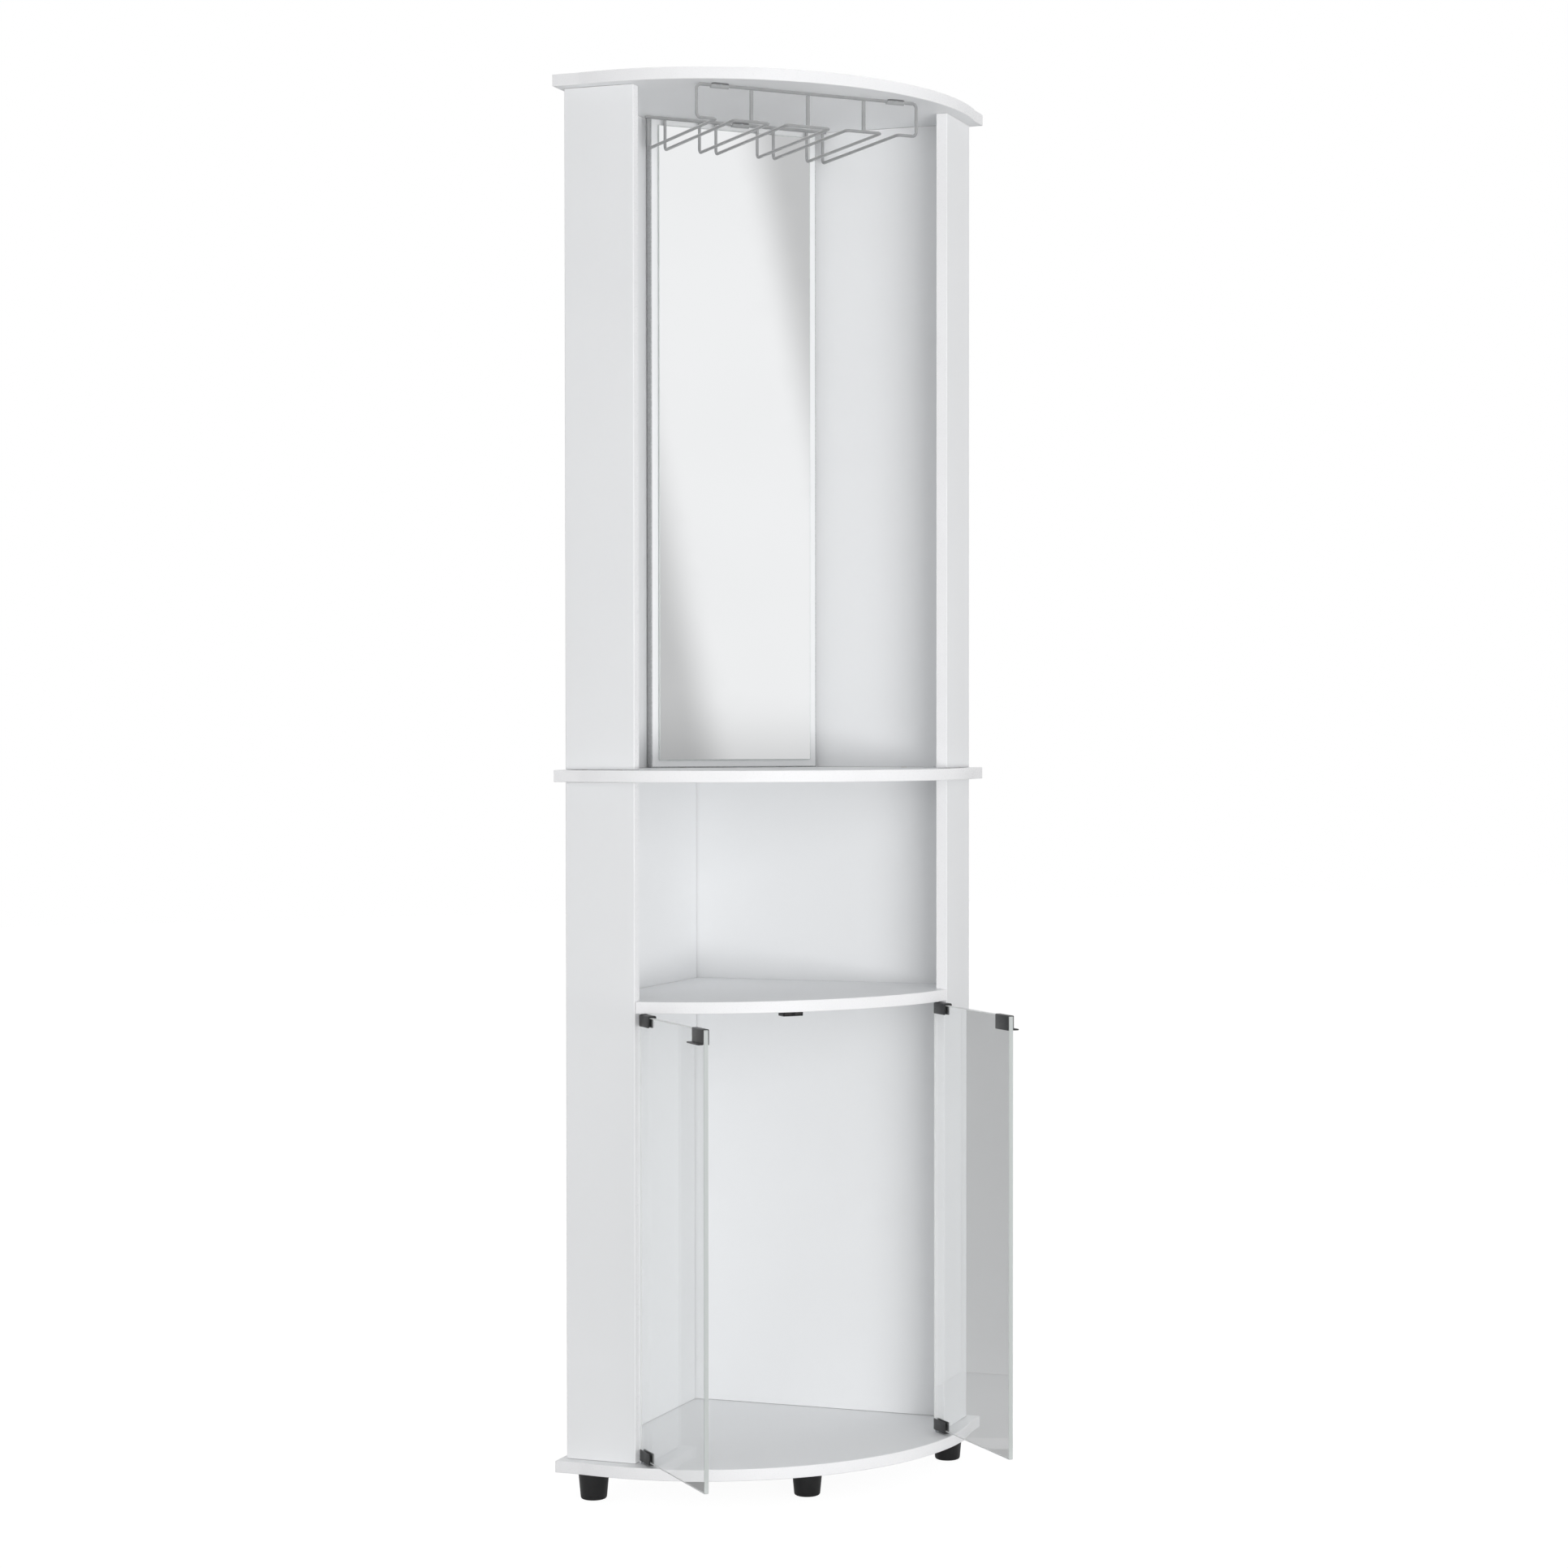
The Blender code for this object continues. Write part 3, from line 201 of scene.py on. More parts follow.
@dataclass(frozen=True)
class Finish:
    """One real material with its colour, gloss and fine texture."""

    name: str
    colour: str
    second_colour: str
    roughness: float
    grain: Grain = Grain.PEARL
    grain_mm: float = 2.0
    cloud_mm: float = 120.0
    relief_mm: float = 0.02
    bump_strength: float = 0.35
    roughness_spread: float = 0.05
    metallic: float = 0.0
    coat: float = 0.0
    coat_roughness: float = 0.1

    def pattern(self, tree: Tree, place: Socket) -> Socket:
        """Add the fine pattern.

        Args:
            tree: The material's node tree.
            place: The socket with the object's coordinates.

        Returns:
            The socket with the pattern's value.
        """
        drawn = add_node(tree, "ShaderNodeMapping", {
            "Vector": place, "Scale": (1.0, 1.0, STRETCH.get(self.grain, 1.0))}).outputs[0]
        density = 1 / (self.grain_mm * MM)
        if self.grain is Grain.FLECKED:
            cells = add_node(tree, "ShaderNodeTexVoronoi", {
                "Vector": drawn, "Scale": density}).outputs["Color"]
            return add_node(tree, "ShaderNodeSeparateColor", {0: cells}).outputs[0]
        return add_node(tree, "ShaderNodeTexNoise", {
            "Vector": drawn, "Scale": density, **GRAIN_NOISE}).outputs[0]

    def build(self) -> bpy.types.Material:
        """Build the material.

        Returns:
            A material whose colour, roughness and bump come from nodes.
        """
        material, tree, shader = start_material(self.name)
        place = add_node(tree, "ShaderNodeTexCoord").outputs["Object"]
        share = fine = self.pattern(tree, place)
        if self.grain in (Grain.PEARL, Grain.BRUSHED):
            cloud = add_node(tree, "ShaderNodeTexNoise", {
                "Vector": place, "Scale": 1 / (self.cloud_mm * MM), **CLOUD_NOISE}).outputs[0]
            share = add_node(tree, "ShaderNodeMapRange", {
                "Value": cloud, **CLOUD_RANGE}).outputs[0]
        colour = add_node(tree, "ShaderNodeMix", {
            0: share, 6: linear(self.colour), 7: linear(self.second_colour)}, data_type="RGBA")
        rough = add_node(tree, "ShaderNodeMapRange", {
            "Value": fine, **GRAIN_RANGE,
            "To Min": max(0.0, self.roughness - self.roughness_spread),
            "To Max": self.roughness + self.roughness_spread})
        bump = add_node(tree, "ShaderNodeBump", {
            "Height": fine, "Strength": self.bump_strength, "Distance": self.relief_mm * MM})
        connect(tree, shader, {
            "Base Color": colour.outputs[2], "Roughness": rough.outputs[0],
            "Normal": bump.outputs[0], "Metallic": self.metallic, "Coat Weight": self.coat,
            "Coat Roughness": self.coat_roughness})
        return material


@dataclass(frozen=True)
class PaneGlass:
    """Clear or ground float glass that lets lamp light through."""

    name: str
    tint: str
    roughness: float
    roughness_gain: float = 0.02
    smear_mm: float = 70.0
    clearness: float = 1.0

    def build(self) -> bpy.types.Material:
        """Build the material.

        Returns:
            A refracting material with faint smears.
        """
        material, tree, shader = start_material(self.name)
        place = add_node(tree, "ShaderNodeTexCoord").outputs["Object"]
        smear = add_node(tree, "ShaderNodeTexNoise", {
            "Vector": place, "Scale": 1 / (self.smear_mm * MM), **SMEAR_NOISE}).outputs[0]
        rough = add_node(tree, "ShaderNodeMapRange", {
            "Value": smear, **SMEAR_RANGE, "To Min": self.roughness,
            "To Max": self.roughness + self.roughness_gain}).outputs[0]
        tint = linear(self.tint)
        connect(tree, shader, {"Roughness": rough, "Base Color": tint,
                               "Transmission Weight": self.clearness})
        # Lamp light passes the pane straight, as it does through real float glass. Each of its
        # two faces takes the root of the tint.
        clear = add_node(tree, "ShaderNodeBsdfTransparent", {
            "Color": tuple(math.sqrt(channel) for channel in tint)})
        rays = add_node(tree, "ShaderNodeLightPath")
        both = add_node(tree, "ShaderNodeMixShader", {
            0: rays.outputs["Is Shadow Ray"], 1: shader.outputs[0], 2: clear.outputs[0]})
        connect(tree, tree.nodes["Material Output"], {"Surface": both.outputs[0]})
        return material


# Melamine on chipboard, pressed against a pearl plate: even white with a very fine soft relief.
LAMINATE = Finish("white_melamine_laminate", "F4F5F6", "F2F3F4", 0.42, grain_mm=1.6,
                  cloud_mm=260, relief_mm=0.012, roughness_spread=0.06)
# Extruded ABS edging: a little whiter and glossier than the faces, with faint lines along it.
EDGING = Finish("white_abs_edging", "F8F8F9", "F6F6F7", 0.3, grain_mm=1.2, cloud_mm=90,
                relief_mm=0.008)
# Sealed chipboard edge without edging: grey white flecks, set darker as painted shade for the
# narrow grooves where the board behind the mirror meets the walls.
SEALED_EDGE_PAINTED_SHADE = Finish("sealed_chipboard_edge_painted_shade", "C6C7C8", "AEAFB0", 0.7, Grain.FLECKED, 1.4,
                     relief_mm=0.08)
# Turned beech dowels with straight grain.
BEECH = Finish("turned_beech", "C9A877", "B58F5F", 0.6, Grain.WOOD, 1.5, relief_mm=0.05)
# Silver behind float glass: near white metal with a faint cool cast, quite smooth.
SILVER = Finish("silvered_float_glass", "EFF0F1", "EDEEEF", 0.025, grain_mm=40, cloud_mm=300,
                bump_strength=0.0, roughness_spread=0.01, metallic=1.0)
# Ground and polished edge of the mirror: grey green, satin.
MIRROR_EDGE = Finish("ground_mirror_edge", "DCE1DF", "D3D9D6", 0.25, grain_mm=0.8, cloud_mm=20)
# Ground leading edge of the panes: the same glass, frosted by the wheel, it gathers the light.
PANE_EDGE = PaneGlass("ground_float_glass_edge", "D6DBD9", 0.3, 0.1, 6.0, 0.2)
# The panes' other edges, seen through the glass: the same ground glass in a whiter tint, a
# painted highlight that makes them read as a bright line.
PANE_RIM_PAINTED_HIGHLIGHT = PaneGlass("ground_float_glass_rim_painted_highlight", "FCFDFD", 0.3, 0.1, 6.0, 0.2)
# Black powder coat on stamped steel: satin with a fine orange peel.
POWDER_COAT = Finish("black_powder_coated_steel", "2B2C2D", "333435", 0.38, grain_mm=0.9,
                     cloud_mm=9, relief_mm=0.05, roughness_spread=0.08)
# Injection moulded polypropylene, spark-eroded texture: deep black with a soft sheen.
POLYPROPYLENE = Finish("black_moulded_polypropylene", "0F0F10", "151516", 0.42, grain_mm=0.7,
                       cloud_mm=14, relief_mm=0.06, roughness_spread=0.08)
# Zinc plated steel: cool grey metal, lightly drawn.
ZINC_PLATE = Finish("zinc_plated_steel", "B9BCBF", "A7AAAE", 0.32, Grain.BRUSHED, 0.6,
                    cloud_mm=6, relief_mm=0.01, metallic=1.0)
# Grey lacquer over drawn steel wire: smooth, with a soft metallic body.
WIRE_LACQUER = Finish("grey_lacquered_wire", "A7A8A9", "9FA0A1", 0.34, grain_mm=1.0,
                      cloud_mm=18, relief_mm=0.015, metallic=0.35, coat=0.3)
# The same lacquer on the stamped clips in two tones: a darker painted shade on their flanges and
# a lighter painted highlight on the saddle.
CLIP_LACQUER_PAINTED_SHADE = Finish("grey_lacquered_clip_painted_shade", "767778", "6D6E6F", 0.4, grain_mm=0.9,
                      cloud_mm=10, relief_mm=0.03, metallic=0.25)
SADDLE_LACQUER_PAINTED_HIGHLIGHT = Finish("grey_lacquered_saddle_painted_highlight", "B2B3B4", "AAABAC", 0.4, grain_mm=0.9,
                        cloud_mm=10, relief_mm=0.03, metallic=0.25)
# Extruded soft vinyl between clamp and glass: dark grey and matt.
VINYL = Finish("dark_soft_vinyl", "3A3B3B", "323333", 0.55, grain_mm=1.0, cloud_mm=8,
               relief_mm=0.03)
# Sintered ferrite between steel plates: matt charcoal.
FERRITE = Finish("sintered_ferrite", "4A4847", "3D3B3A", 0.6, Grain.FLECKED, 0.6,
                 relief_mm=0.03, metallic=0.3)
# Closed cell foam tape: off white and matt.
FOAM = Finish("closed_cell_foam", "E4E4E0", "D8D8D4", 0.85, Grain.FLECKED, 0.8, relief_mm=0.1)
# Clear tempered float glass: nearly colourless, with faint smears.
PANE_GLASS = PaneGlass("clear_float_glass", "FAFBFB", 0.0)


def spot(node: str) -> tuple[Vector, Vector, Vector]:
    """Return the lowest and highest corner and the middle of a node's box."""
    low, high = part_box(node)
    return low, high, (low + high) / 2


def picked(geometry: Iterable[Any], kind: type) -> list[Any]:
    """Pick one kind of element out of what an operator gives back."""
    return [element for element in geometry if isinstance(element, kind)]


def placed(bm: Shape, name: str) -> bpy.types.Object:
    """Put a shape into an object of the scene.

    Args:
        bm: The shape, freed here.
        name: The object's name.

    Returns:
        The new object.
    """
    mesh = bpy.data.meshes.new(name)
    bm.to_mesh(mesh)
    bm.free()
    item = bpy.data.objects.new(name, mesh)
    bpy.context.scene.collection.objects.link(item)
    return item


def evaluated(item: bpy.types.Object, *tools: bpy.types.Object) -> Shape:
    """Take an object's shape with its modifiers applied.

    Args:
        item: The object, removed here.
        tools: Objects that its modifiers use, also removed.

    Returns:
        The finished shape.
    """
    bpy.context.view_layer.update()
    bm = bmesh.new()
    bm.from_object(item, bpy.context.evaluated_depsgraph_get())
    for old in (item, *tools):
        mesh = old.data
        bpy.data.objects.remove(old, do_unlink=True)
        bpy.data.meshes.remove(mesh)
    return bm


def cut(blank: Shape, tool: Shape, operation: str = "DIFFERENCE") -> Shape:
    """Cut one shape with another.

    Args:
        blank: The shape that is cut.
        tool: The shape that cuts it.
        operation: What is kept: the difference or the overlap.

    Returns:
        The result.
    """
    item, cutter = placed(blank, "blank"), placed(tool, "tool")
    boolean = item.modifiers.new("cut", "BOOLEAN")
    boolean.operation, boolean.solver, boolean.object = operation, "EXACT", cutter
    return evaluated(item, cutter)


class Shop:
    """Turns finished shapes into pieces and keeps the built materials."""

    def __init__(self) -> None:
        """Start with no material built."""
        self.built: dict[str, bpy.types.Material] = {}

    def material(self, finish: Finish | PaneGlass) -> bpy.types.Material:
        """Return the material of a finish.

        Args:
            finish: The finish, built at its first use.

        Returns:
            The built material.
        """
        if finish.name not in self.built:
            self.built[finish.name] = finish.build()
        return self.built[finish.name]

    def piece(self, node: str, bm: Shape, finishes: Sequence[Finish | PaneGlass], slot: str,
              body: Body = Body.CABINET, sharp: float = SHARP, weighted: bool = False,
              mirrored: bool = True) -> None:
        """Make the piece that stands for one node of the frame.

        Args:
            node: The node's name.
            bm: The finished shape, freed here.
            finishes: Its finishes, in the order of the faces' material numbers.
            slot: The record's material slot; not used.
            body: The body that it rides on.
            sharp: Angle in degrees above which an edge stays sharp.
            weighted: Whether large faces set the shading of narrow bevels.
            mirrored: Whether it shows in reflections.
        """
        item = placed(bm, "finished_" + node)
        for finish in finishes:
            item.data.materials.append(self.material(finish))
        item.data.shade_smooth()
        if weighted:
            item.modifiers.new("even_faces", "WEIGHTED_NORMAL").keep_sharp = True
        else:
            item.data.set_sharp_from_angle(angle=math.radians(sharp))
        item.visible_glossy = mirrored
        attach(item, body.value)
        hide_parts(node)
        LOG.info("%s: %d faces", item.name, len(item.data.polygons))

    def dress(self, node: str, finish: Finish) -> None:
        """Give a node of the frame its finish.

        Args:
            node: The node's name.
            finish: The finish.
        """
        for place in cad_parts[node].material_slots:
            place.material = self.material(finish)
        LOG.info("%s: dressed in %s", node, finish.name)


def bevel_edges(bm: Shape, width: float, segments: int = 3,
                edges: Iterable[Edge] | None = None) -> None:
    """Round sharp edges.

    Args:
        bm: The shape.
        width: Bevel width.
        segments: Number of faces across the bevel.
        edges: The edges, or all that turn enough.
    """
    chosen = list(edges) if edges is not None else [
        e for e in bm.edges if len(e.link_faces) == 2 and e.calc_face_angle(0) > ROUNDED_TURN]
    bmesh.ops.bevel(bm, geom=chosen, offset=width, offset_type="OFFSET", affect="EDGES",
                    segments=segments, profile=0.5, material=-1, clamp_overlap=True)


def add_box(bm: Shape, low: Point, high: Point) -> None:
    """Add a box.

    Args:
        bm: The shape.
        low: Its lowest corner.
        high: Its highest corner.
    """
    first, last = Vector(low), Vector(high)
    size = Matrix.Diagonal((*(last - first), 1.0))
    bmesh.ops.create_cube(bm, size=1.0, matrix=Matrix.Translation((first + last) / 2) @ size)


def add_rod(bm: Shape, start: Point, end: Point, radius: float, segments: int = 24) -> None:
    """Add a round rod with closed ends.

    Args:
        bm: The shape.
        start: Middle of its first end.
        end: Middle of its other end.
        radius: Its radius.
        segments: Sides of its round section.
    """
    first, last = Vector(start), Vector(end)
    turn = UP.rotation_difference(last - first).to_matrix().to_4x4()
    bmesh.ops.create_cone(bm, cap_ends=True, segments=segments, radius1=radius, radius2=radius,
                          depth=(last - first).length,
                          matrix=Matrix.Translation((first + last) / 2) @ turn)


def draw_line(bm: Shape, points: Iterable[Point], radii: Sequence[float], steps: int,
              closed: bool = False) -> None:
    """Draw a line of edges and round its corners.

    Args:
        bm: An empty shape.
        points: The line's corners.
        radii: Radius at each corner after the first point, none where it is zero.
        steps: Edges round each corner.
        closed: Whether the line closes on itself.
    """
    verts = [bm.verts.new(point) for point in points]
    for pair in zip(verts, verts[1:] + verts[:1] if closed else verts[1:]):
        bm.edges.new(pair)
    for vert, radius in zip(verts[1:], radii):
        if radius > 0:
            into, out = (edge.other_vert(vert).co - vert.co for edge in vert.link_edges)
            bmesh.ops.bevel(bm, geom=[vert], offset=radius / math.tan(into.angle(out) / 2),
                            offset_type="OFFSET", affect="VERTICES", segments=steps,
                            profile=0.5, material=-1, clamp_overlap=False)
    bmesh.ops.remove_doubles(bm, verts=bm.verts, dist=WELD)


def turned(profile: Sequence[Pair], centre: Point, radii: Sequence[float] = (),
           steps: int = 40, corner_steps: int = 3, closed: bool = False) -> Shape:
    """Turn a profile of radius and height about an upright axis.

    Args:
        profile: The profile's corners.
        centre: Place of the axis.
        radii: Rounding at each corner after the first.
        steps: Steps of the full turn.
        corner_steps: Steps of each rounded corner.
        closed: Whether the profile closes on itself.

    Returns:
        The turned shape.
    """
    bm = bmesh.new()
    draw_line(bm, [(radius, 0.0, height) for radius, height in profile], radii, corner_steps,
              closed)
    bmesh.ops.spin(bm, geom=bm.verts[:] + bm.edges[:], cent=(0, 0, 0), axis=UP, dvec=(0, 0, 0),
                   angle=math.tau, steps=steps, use_merge=True, use_duplicate=False)
    bmesh.ops.remove_doubles(bm, verts=bm.verts, dist=WELD)
    bmesh.ops.recalc_face_normals(bm, faces=bm.faces)
    bmesh.ops.translate(bm, verts=bm.verts, vec=(centre[0], centre[1], 0.0))
    return bm


def folded_sheet(profile: Sequence[Pair], radii: Sequence[float], length: float,
                 thickness: float, steps: int = 4) -> Shape:
    """Fold a sheet across its length.

    Args:
        profile: Middle line of the section, across and up.
        radii: Radius of each fold on the middle line.
        length: Length along x, half to each side.
        thickness: Sheet thickness.
        steps: Steps of each fold.

    Returns:
        The folded sheet.
    """
    bm = bmesh.new()
    draw_line(bm, [(-length / 2, y, z) for y, z in profile], radii, steps)
    grown = bmesh.ops.extrude_edge_only(bm, edges=bm.edges[:])
    bmesh.ops.translate(bm, verts=picked(grown["geom"], Vert), vec=(length, 0, 0))
    bmesh.ops.recalc_face_normals(bm, faces=bm.faces)
    item = placed(bm, "sheet")
    solid = item.modifiers.new("thickness", "SOLIDIFY")
    solid.thickness, solid.offset, solid.use_even_offset = thickness, 0.0, True
    result = evaluated(item)
    bmesh.ops.recalc_face_normals(result, faces=result.faces)
    return result


def edge_faces(bm: Shape, thin: int, edging: float) -> None:
    """Number a board's edging: its narrow faces and the rim that shows on its broad faces.

    Args:
        bm: The board.
        thin: The axis of its thickness.
        edging: Thickness of the edging.
    """
    broad = [f for f in bm.faces if abs(f.normal[thin]) > SQUARE]
    rim = set(bmesh.ops.inset_region(bm, faces=broad, thickness=edging, depth=0.0,
                                     use_even_offset=True)["faces"])
    for face in bm.faces:
        face.material_index = 1 if face in rim or abs(face.normal[thin]) <= SQUARE else 0


@dataclass
class Assembly:
    """A sub-assembly, whose pieces go through the workshop."""

    shop: Shop

    def build(self) -> None:
        """Build the pieces."""
        raise NotImplementedError


@dataclass
class BowedBoard(Assembly):
    """A board with a bowed front and edging all round."""

    node: str
    edging: float = 0.5 * MM
    rounding: float = 1.05 * MM
    rounding_steps: int = 2
    steps: int = 96

    def outline(self) -> tuple[Vector, float, list[Pair]]:
        """Lay out the board's plan.

        Returns:
            The bow's start, its rise over the line between its ends, and the other corners.
        """
        if self.node == "niche_shelf":
            rear, inner = WALL_FACE + SEAT_GAP, DEPTH - BOARD - SEAT_GAP
            lap = RETURN_WIDTH + SEAT_GAP
            corners = [(lap, inner), (rear, inner), (rear, rear), (inner, rear), (inner, lap)]
            return Vector((DEPTH, lap, 0)), SHELF_RISE, corners
        rear, side = -REAR_OVERHANG, DEPTH + FRONT_OVERHANG
        return (Vector((side, END_LENGTH - REAR_OVERHANG, 0)), FRONT_RISE,
                [(rear, side), (rear, rear), (side, rear)])

    def build(self) -> None:
        """Spin the bow, close the outline, give it its thickness and dress it."""
        start, rise, corners = self.outline()
        start.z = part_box(self.node)[1].z
        end = Vector((start.y, start.x, start.z))
        half = (end - start).length / 2
        radius = (half * half + rise * rise) / (2 * rise)
        centre = (start + end) / 2 + Vector((1, 1, 0)).normalized() * (rise - radius)
        bm = bmesh.new()
        first = bm.verts.new(start)
        spun = bmesh.ops.spin(bm, geom=[first], cent=centre, axis=UP, dvec=(0, 0, 0),
                              angle=2 * math.atan2(half, radius - rise), steps=self.steps,
                              use_merge=False, use_duplicate=False)
        last = picked(spun["geom_last"], Vert)[0]
        chain = [last, *(bm.verts.new((x, y, start.z)) for x, y in corners), first]
        for pair in zip(chain, chain[1:]):
            bm.edges.new(pair)
        bmesh.ops.contextual_create(bm, geom=bm.edges[:])
        grown = bmesh.ops.extrude_face_region(bm, geom=bm.faces[:], use_keep_orig=True)
        bmesh.ops.translate(bm, verts=picked(grown["geom"], Vert), vec=(0, 0, -BOARD))
        bmesh.ops.remove_doubles(bm, verts=bm.verts, dist=WELD)
        bmesh.ops.recalc_face_normals(bm, faces=bm.faces)
        bevel_edges(bm, self.rounding, self.rounding_steps)
        edge_faces(bm, 2, self.edging)
        bmesh.ops.transform(bm, matrix=PLAN, verts=bm.verts)
        # The mirror shows nothing of the board above it.
        self.shop.piece(self.node, bm, (LAMINATE, EDGING), "white_board", weighted=True,
                        mirrored=self.node != "top_board")


@dataclass
class Panel(Assembly):
    """An upright panel between two boards, with its dowels."""

    node: str
    low: Vector
    high: Vector
    dowels: Sequence[Pair]
    turn: Matrix
    grips: Pair
    edge_finish: Finish = EDGING
    edging: float = 0.5 * MM
    rounding: float = 0.9 * MM
    rounding_steps: int = 2
    dowel_radius: float = 4 * MM

    def build(self) -> None:
        """Build the panel, its edging and its dowels."""
        bm = bmesh.new()
        add_box(bm, self.low, self.high)
        bevel_edges(bm, self.rounding, self.rounding_steps)
        edge_faces(bm, min(range(3), key=lambda i: (self.high - self.low)[i]), self.edging)
        count = len(bm.faces)
        for x, y in self.dowels:
            for start, grip in ((self.low.z, -self.grips[0]), (self.high.z, self.grips[1])):
                add_rod(bm, (x, y, start), (x, y, start + grip), self.dowel_radius)
        bm.faces.ensure_lookup_table()
        for face in bm.faces[count:]:
            face.material_index = 2
        bmesh.ops.transform(bm, matrix=self.turn, verts=bm.verts)
        self.shop.piece(self.node, bm, (LAMINATE, self.edge_finish, BEECH), "white_board",
                        weighted=True)


@dataclass
class Carcass(Assembly):
    """Boards, walls, returns and the board behind the mirror."""

    wall_dowel_shares: Pair = (0.2, 0.8)
    return_dowel_shares: Pair = (0.25, 0.75)
    backing_dowel_share: float = 0.6
    mirror_plane: float = 157.5 * MM
    dowel_grip: float = 9 * MM
    middle_grip: float = 7.25 * MM
    corner_seam: float = 1.3 * MM

    def panels(self) -> None:
        """Build the eight panels that stand on the walls' sides and ends."""
        far, inner = DEPTH - BOARD - SEAT_GAP, DEPTH - BOARD
        near, wall_mid, return_mid = (WALL_FACE + SEAT_GAP, WALL_INSET + BOARD / 2,
                                      DEPTH - BOARD / 2)
        along = [near + (far - near) * share for share in self.wall_dowel_shares]
        across = [RETURN_WIDTH * share for share in self.return_dowel_shares]
        # The left walls stop a hair before the right ones: a fine dark line in the corner.
        plans = {
            "left_wall": ((WALL_FACE + self.corner_seam, WALL_INSET), (far, WALL_FACE),
                          [(a, wall_mid) for a in along]),
            "right_wall": ((WALL_INSET, WALL_INSET), (WALL_FACE, far),
                           [(wall_mid, a) for a in along]),
            "left_return": ((inner, 0.0), (DEPTH, RETURN_WIDTH),
                            [(return_mid, a) for a in across]),
            "right_return": ((0.0, inner), (RETURN_WIDTH, DEPTH),
                             [(a, return_mid) for a in across]),
        }
        grips = (self.middle_grip, self.dowel_grip)
        for part, below, above, ends in (
                ("upper", MIDDLE_BOARD[1].z, TOP_BOARD[0].z, grips),
                ("lower", BOTTOM_BOARD[1].z, MIDDLE_BOARD[0].z, grips[::-1])):
            for side, (low, high, dowels) in plans.items():
                Panel(self.shop, f"{part}_{side}", Vector((*low, below + SEAT_GAP)),
                      Vector((*high, above - SEAT_GAP)), dowels, PLAN, ends).build()

    def backing(self) -> None:
        """Build the board behind the mirror, whose sides have no edging and are grey as painted
        shade.
        """
        half = self.mirror_plane - BOARD - ROOT_TWO * (WALL_FACE + SEAT_GAP)
        side = half * self.backing_dowel_share
        middle = BOARD / 2 - self.mirror_plane
        Panel(self.shop, "mirror_backing_board",
              Vector((-half, -self.mirror_plane, MIDDLE_BOARD[1].z + SEAT_GAP)),
              Vector((half, BOARD - self.mirror_plane, TOP_BOARD[0].z - SEAT_GAP)),
              [(-side, middle), (side, middle)], Matrix.Translation((0, CORNER_Y, 0)),
              (self.dowel_grip, self.dowel_grip), SEALED_EDGE_PAINTED_SHADE).build()

    def build(self) -> None:
        """Build the whole carcass."""
        for node in ("top_board", "middle_board", "niche_shelf", "bottom_board"):
            BowedBoard(self.shop, node).build()
        self.panels()
        self.backing()


@dataclass
class Mirror(Assembly):
    """The mirror, with its ground edge, on two tapes."""

    arris: float = 1.0 * MM

    def build(self) -> None:
        """Build the mirror and dress the tapes."""
        bm = bmesh.new()
        add_box(bm, *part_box("mirror_glass"))
        bevel_edges(bm, self.arris)
        for face in bm.faces:
            face.material_index = 0 if abs(face.normal.y) > SQUARE else 1
        self.shop.piece("mirror_glass", bm, (SILVER, MIRROR_EDGE), "mirror", weighted=True)
        for side in ("left", "right"):
            self.shop.dress(f"mirror_{side}_tape", FOAM)


@dataclass
class Screw(Assembly):
    """A pan head screw with a cross recess, pointing up."""

    node: str
    head: float
    shank: float
    steps: int = 32
    crown: float = 0.1 * MM
    rim_share: float = 0.35
    shoulder_share: float = 0.85
    face_share: float = 0.5
    recess_share: float = 0.62
    slot_share: float = 0.2
    recess_depth_share: float = 0.55
    core_share: float = 0.8
    pitch_share: float = 0.55
    least_turns: int = 3

    def build(self) -> None:
        """Build the screw in its node's place: head below, threaded shank above."""
        low, high, centre = spot(self.node)
        radius = (high.x - low.x) / 2
        seat, core = low.z + self.head, self.shank * self.core_share
        pitch, start = self.shank * self.pitch_share, high.z - self.shank
        turns = max(self.least_turns, int((start - seat) / pitch) - 1)
        thread = [point for i in range(turns) for point in (
            (core, start - i * pitch), (self.shank, start - (i + 0.5) * pitch))]
        profile = [(0.0, high.z), *thread, (core, start - turns * pitch), (core, seat),
                   (radius, seat), (radius, low.z + self.head * self.rim_share),
                   (radius * self.shoulder_share, low.z + self.crown),
                   (radius * self.face_share, low.z), (0.0, low.z)]
        bm = turned(profile, centre, steps=self.steps)
        reach, wide = radius * self.recess_share, radius * self.slot_share
        deep = self.head * self.recess_depth_share
        for dx, dy in ((reach, wide), (wide, reach)):
            arm = bmesh.new()
            add_box(arm, (centre.x - dx, centre.y - dy, low.z - deep),
                    (centre.x + dx, centre.y + dy, low.z + deep))
            bm = cut(bm, arm)
        self.shop.piece(self.node, bm, (ZINC_PLATE,), "plated_steel",
                        mirrored="rack" not in self.node)


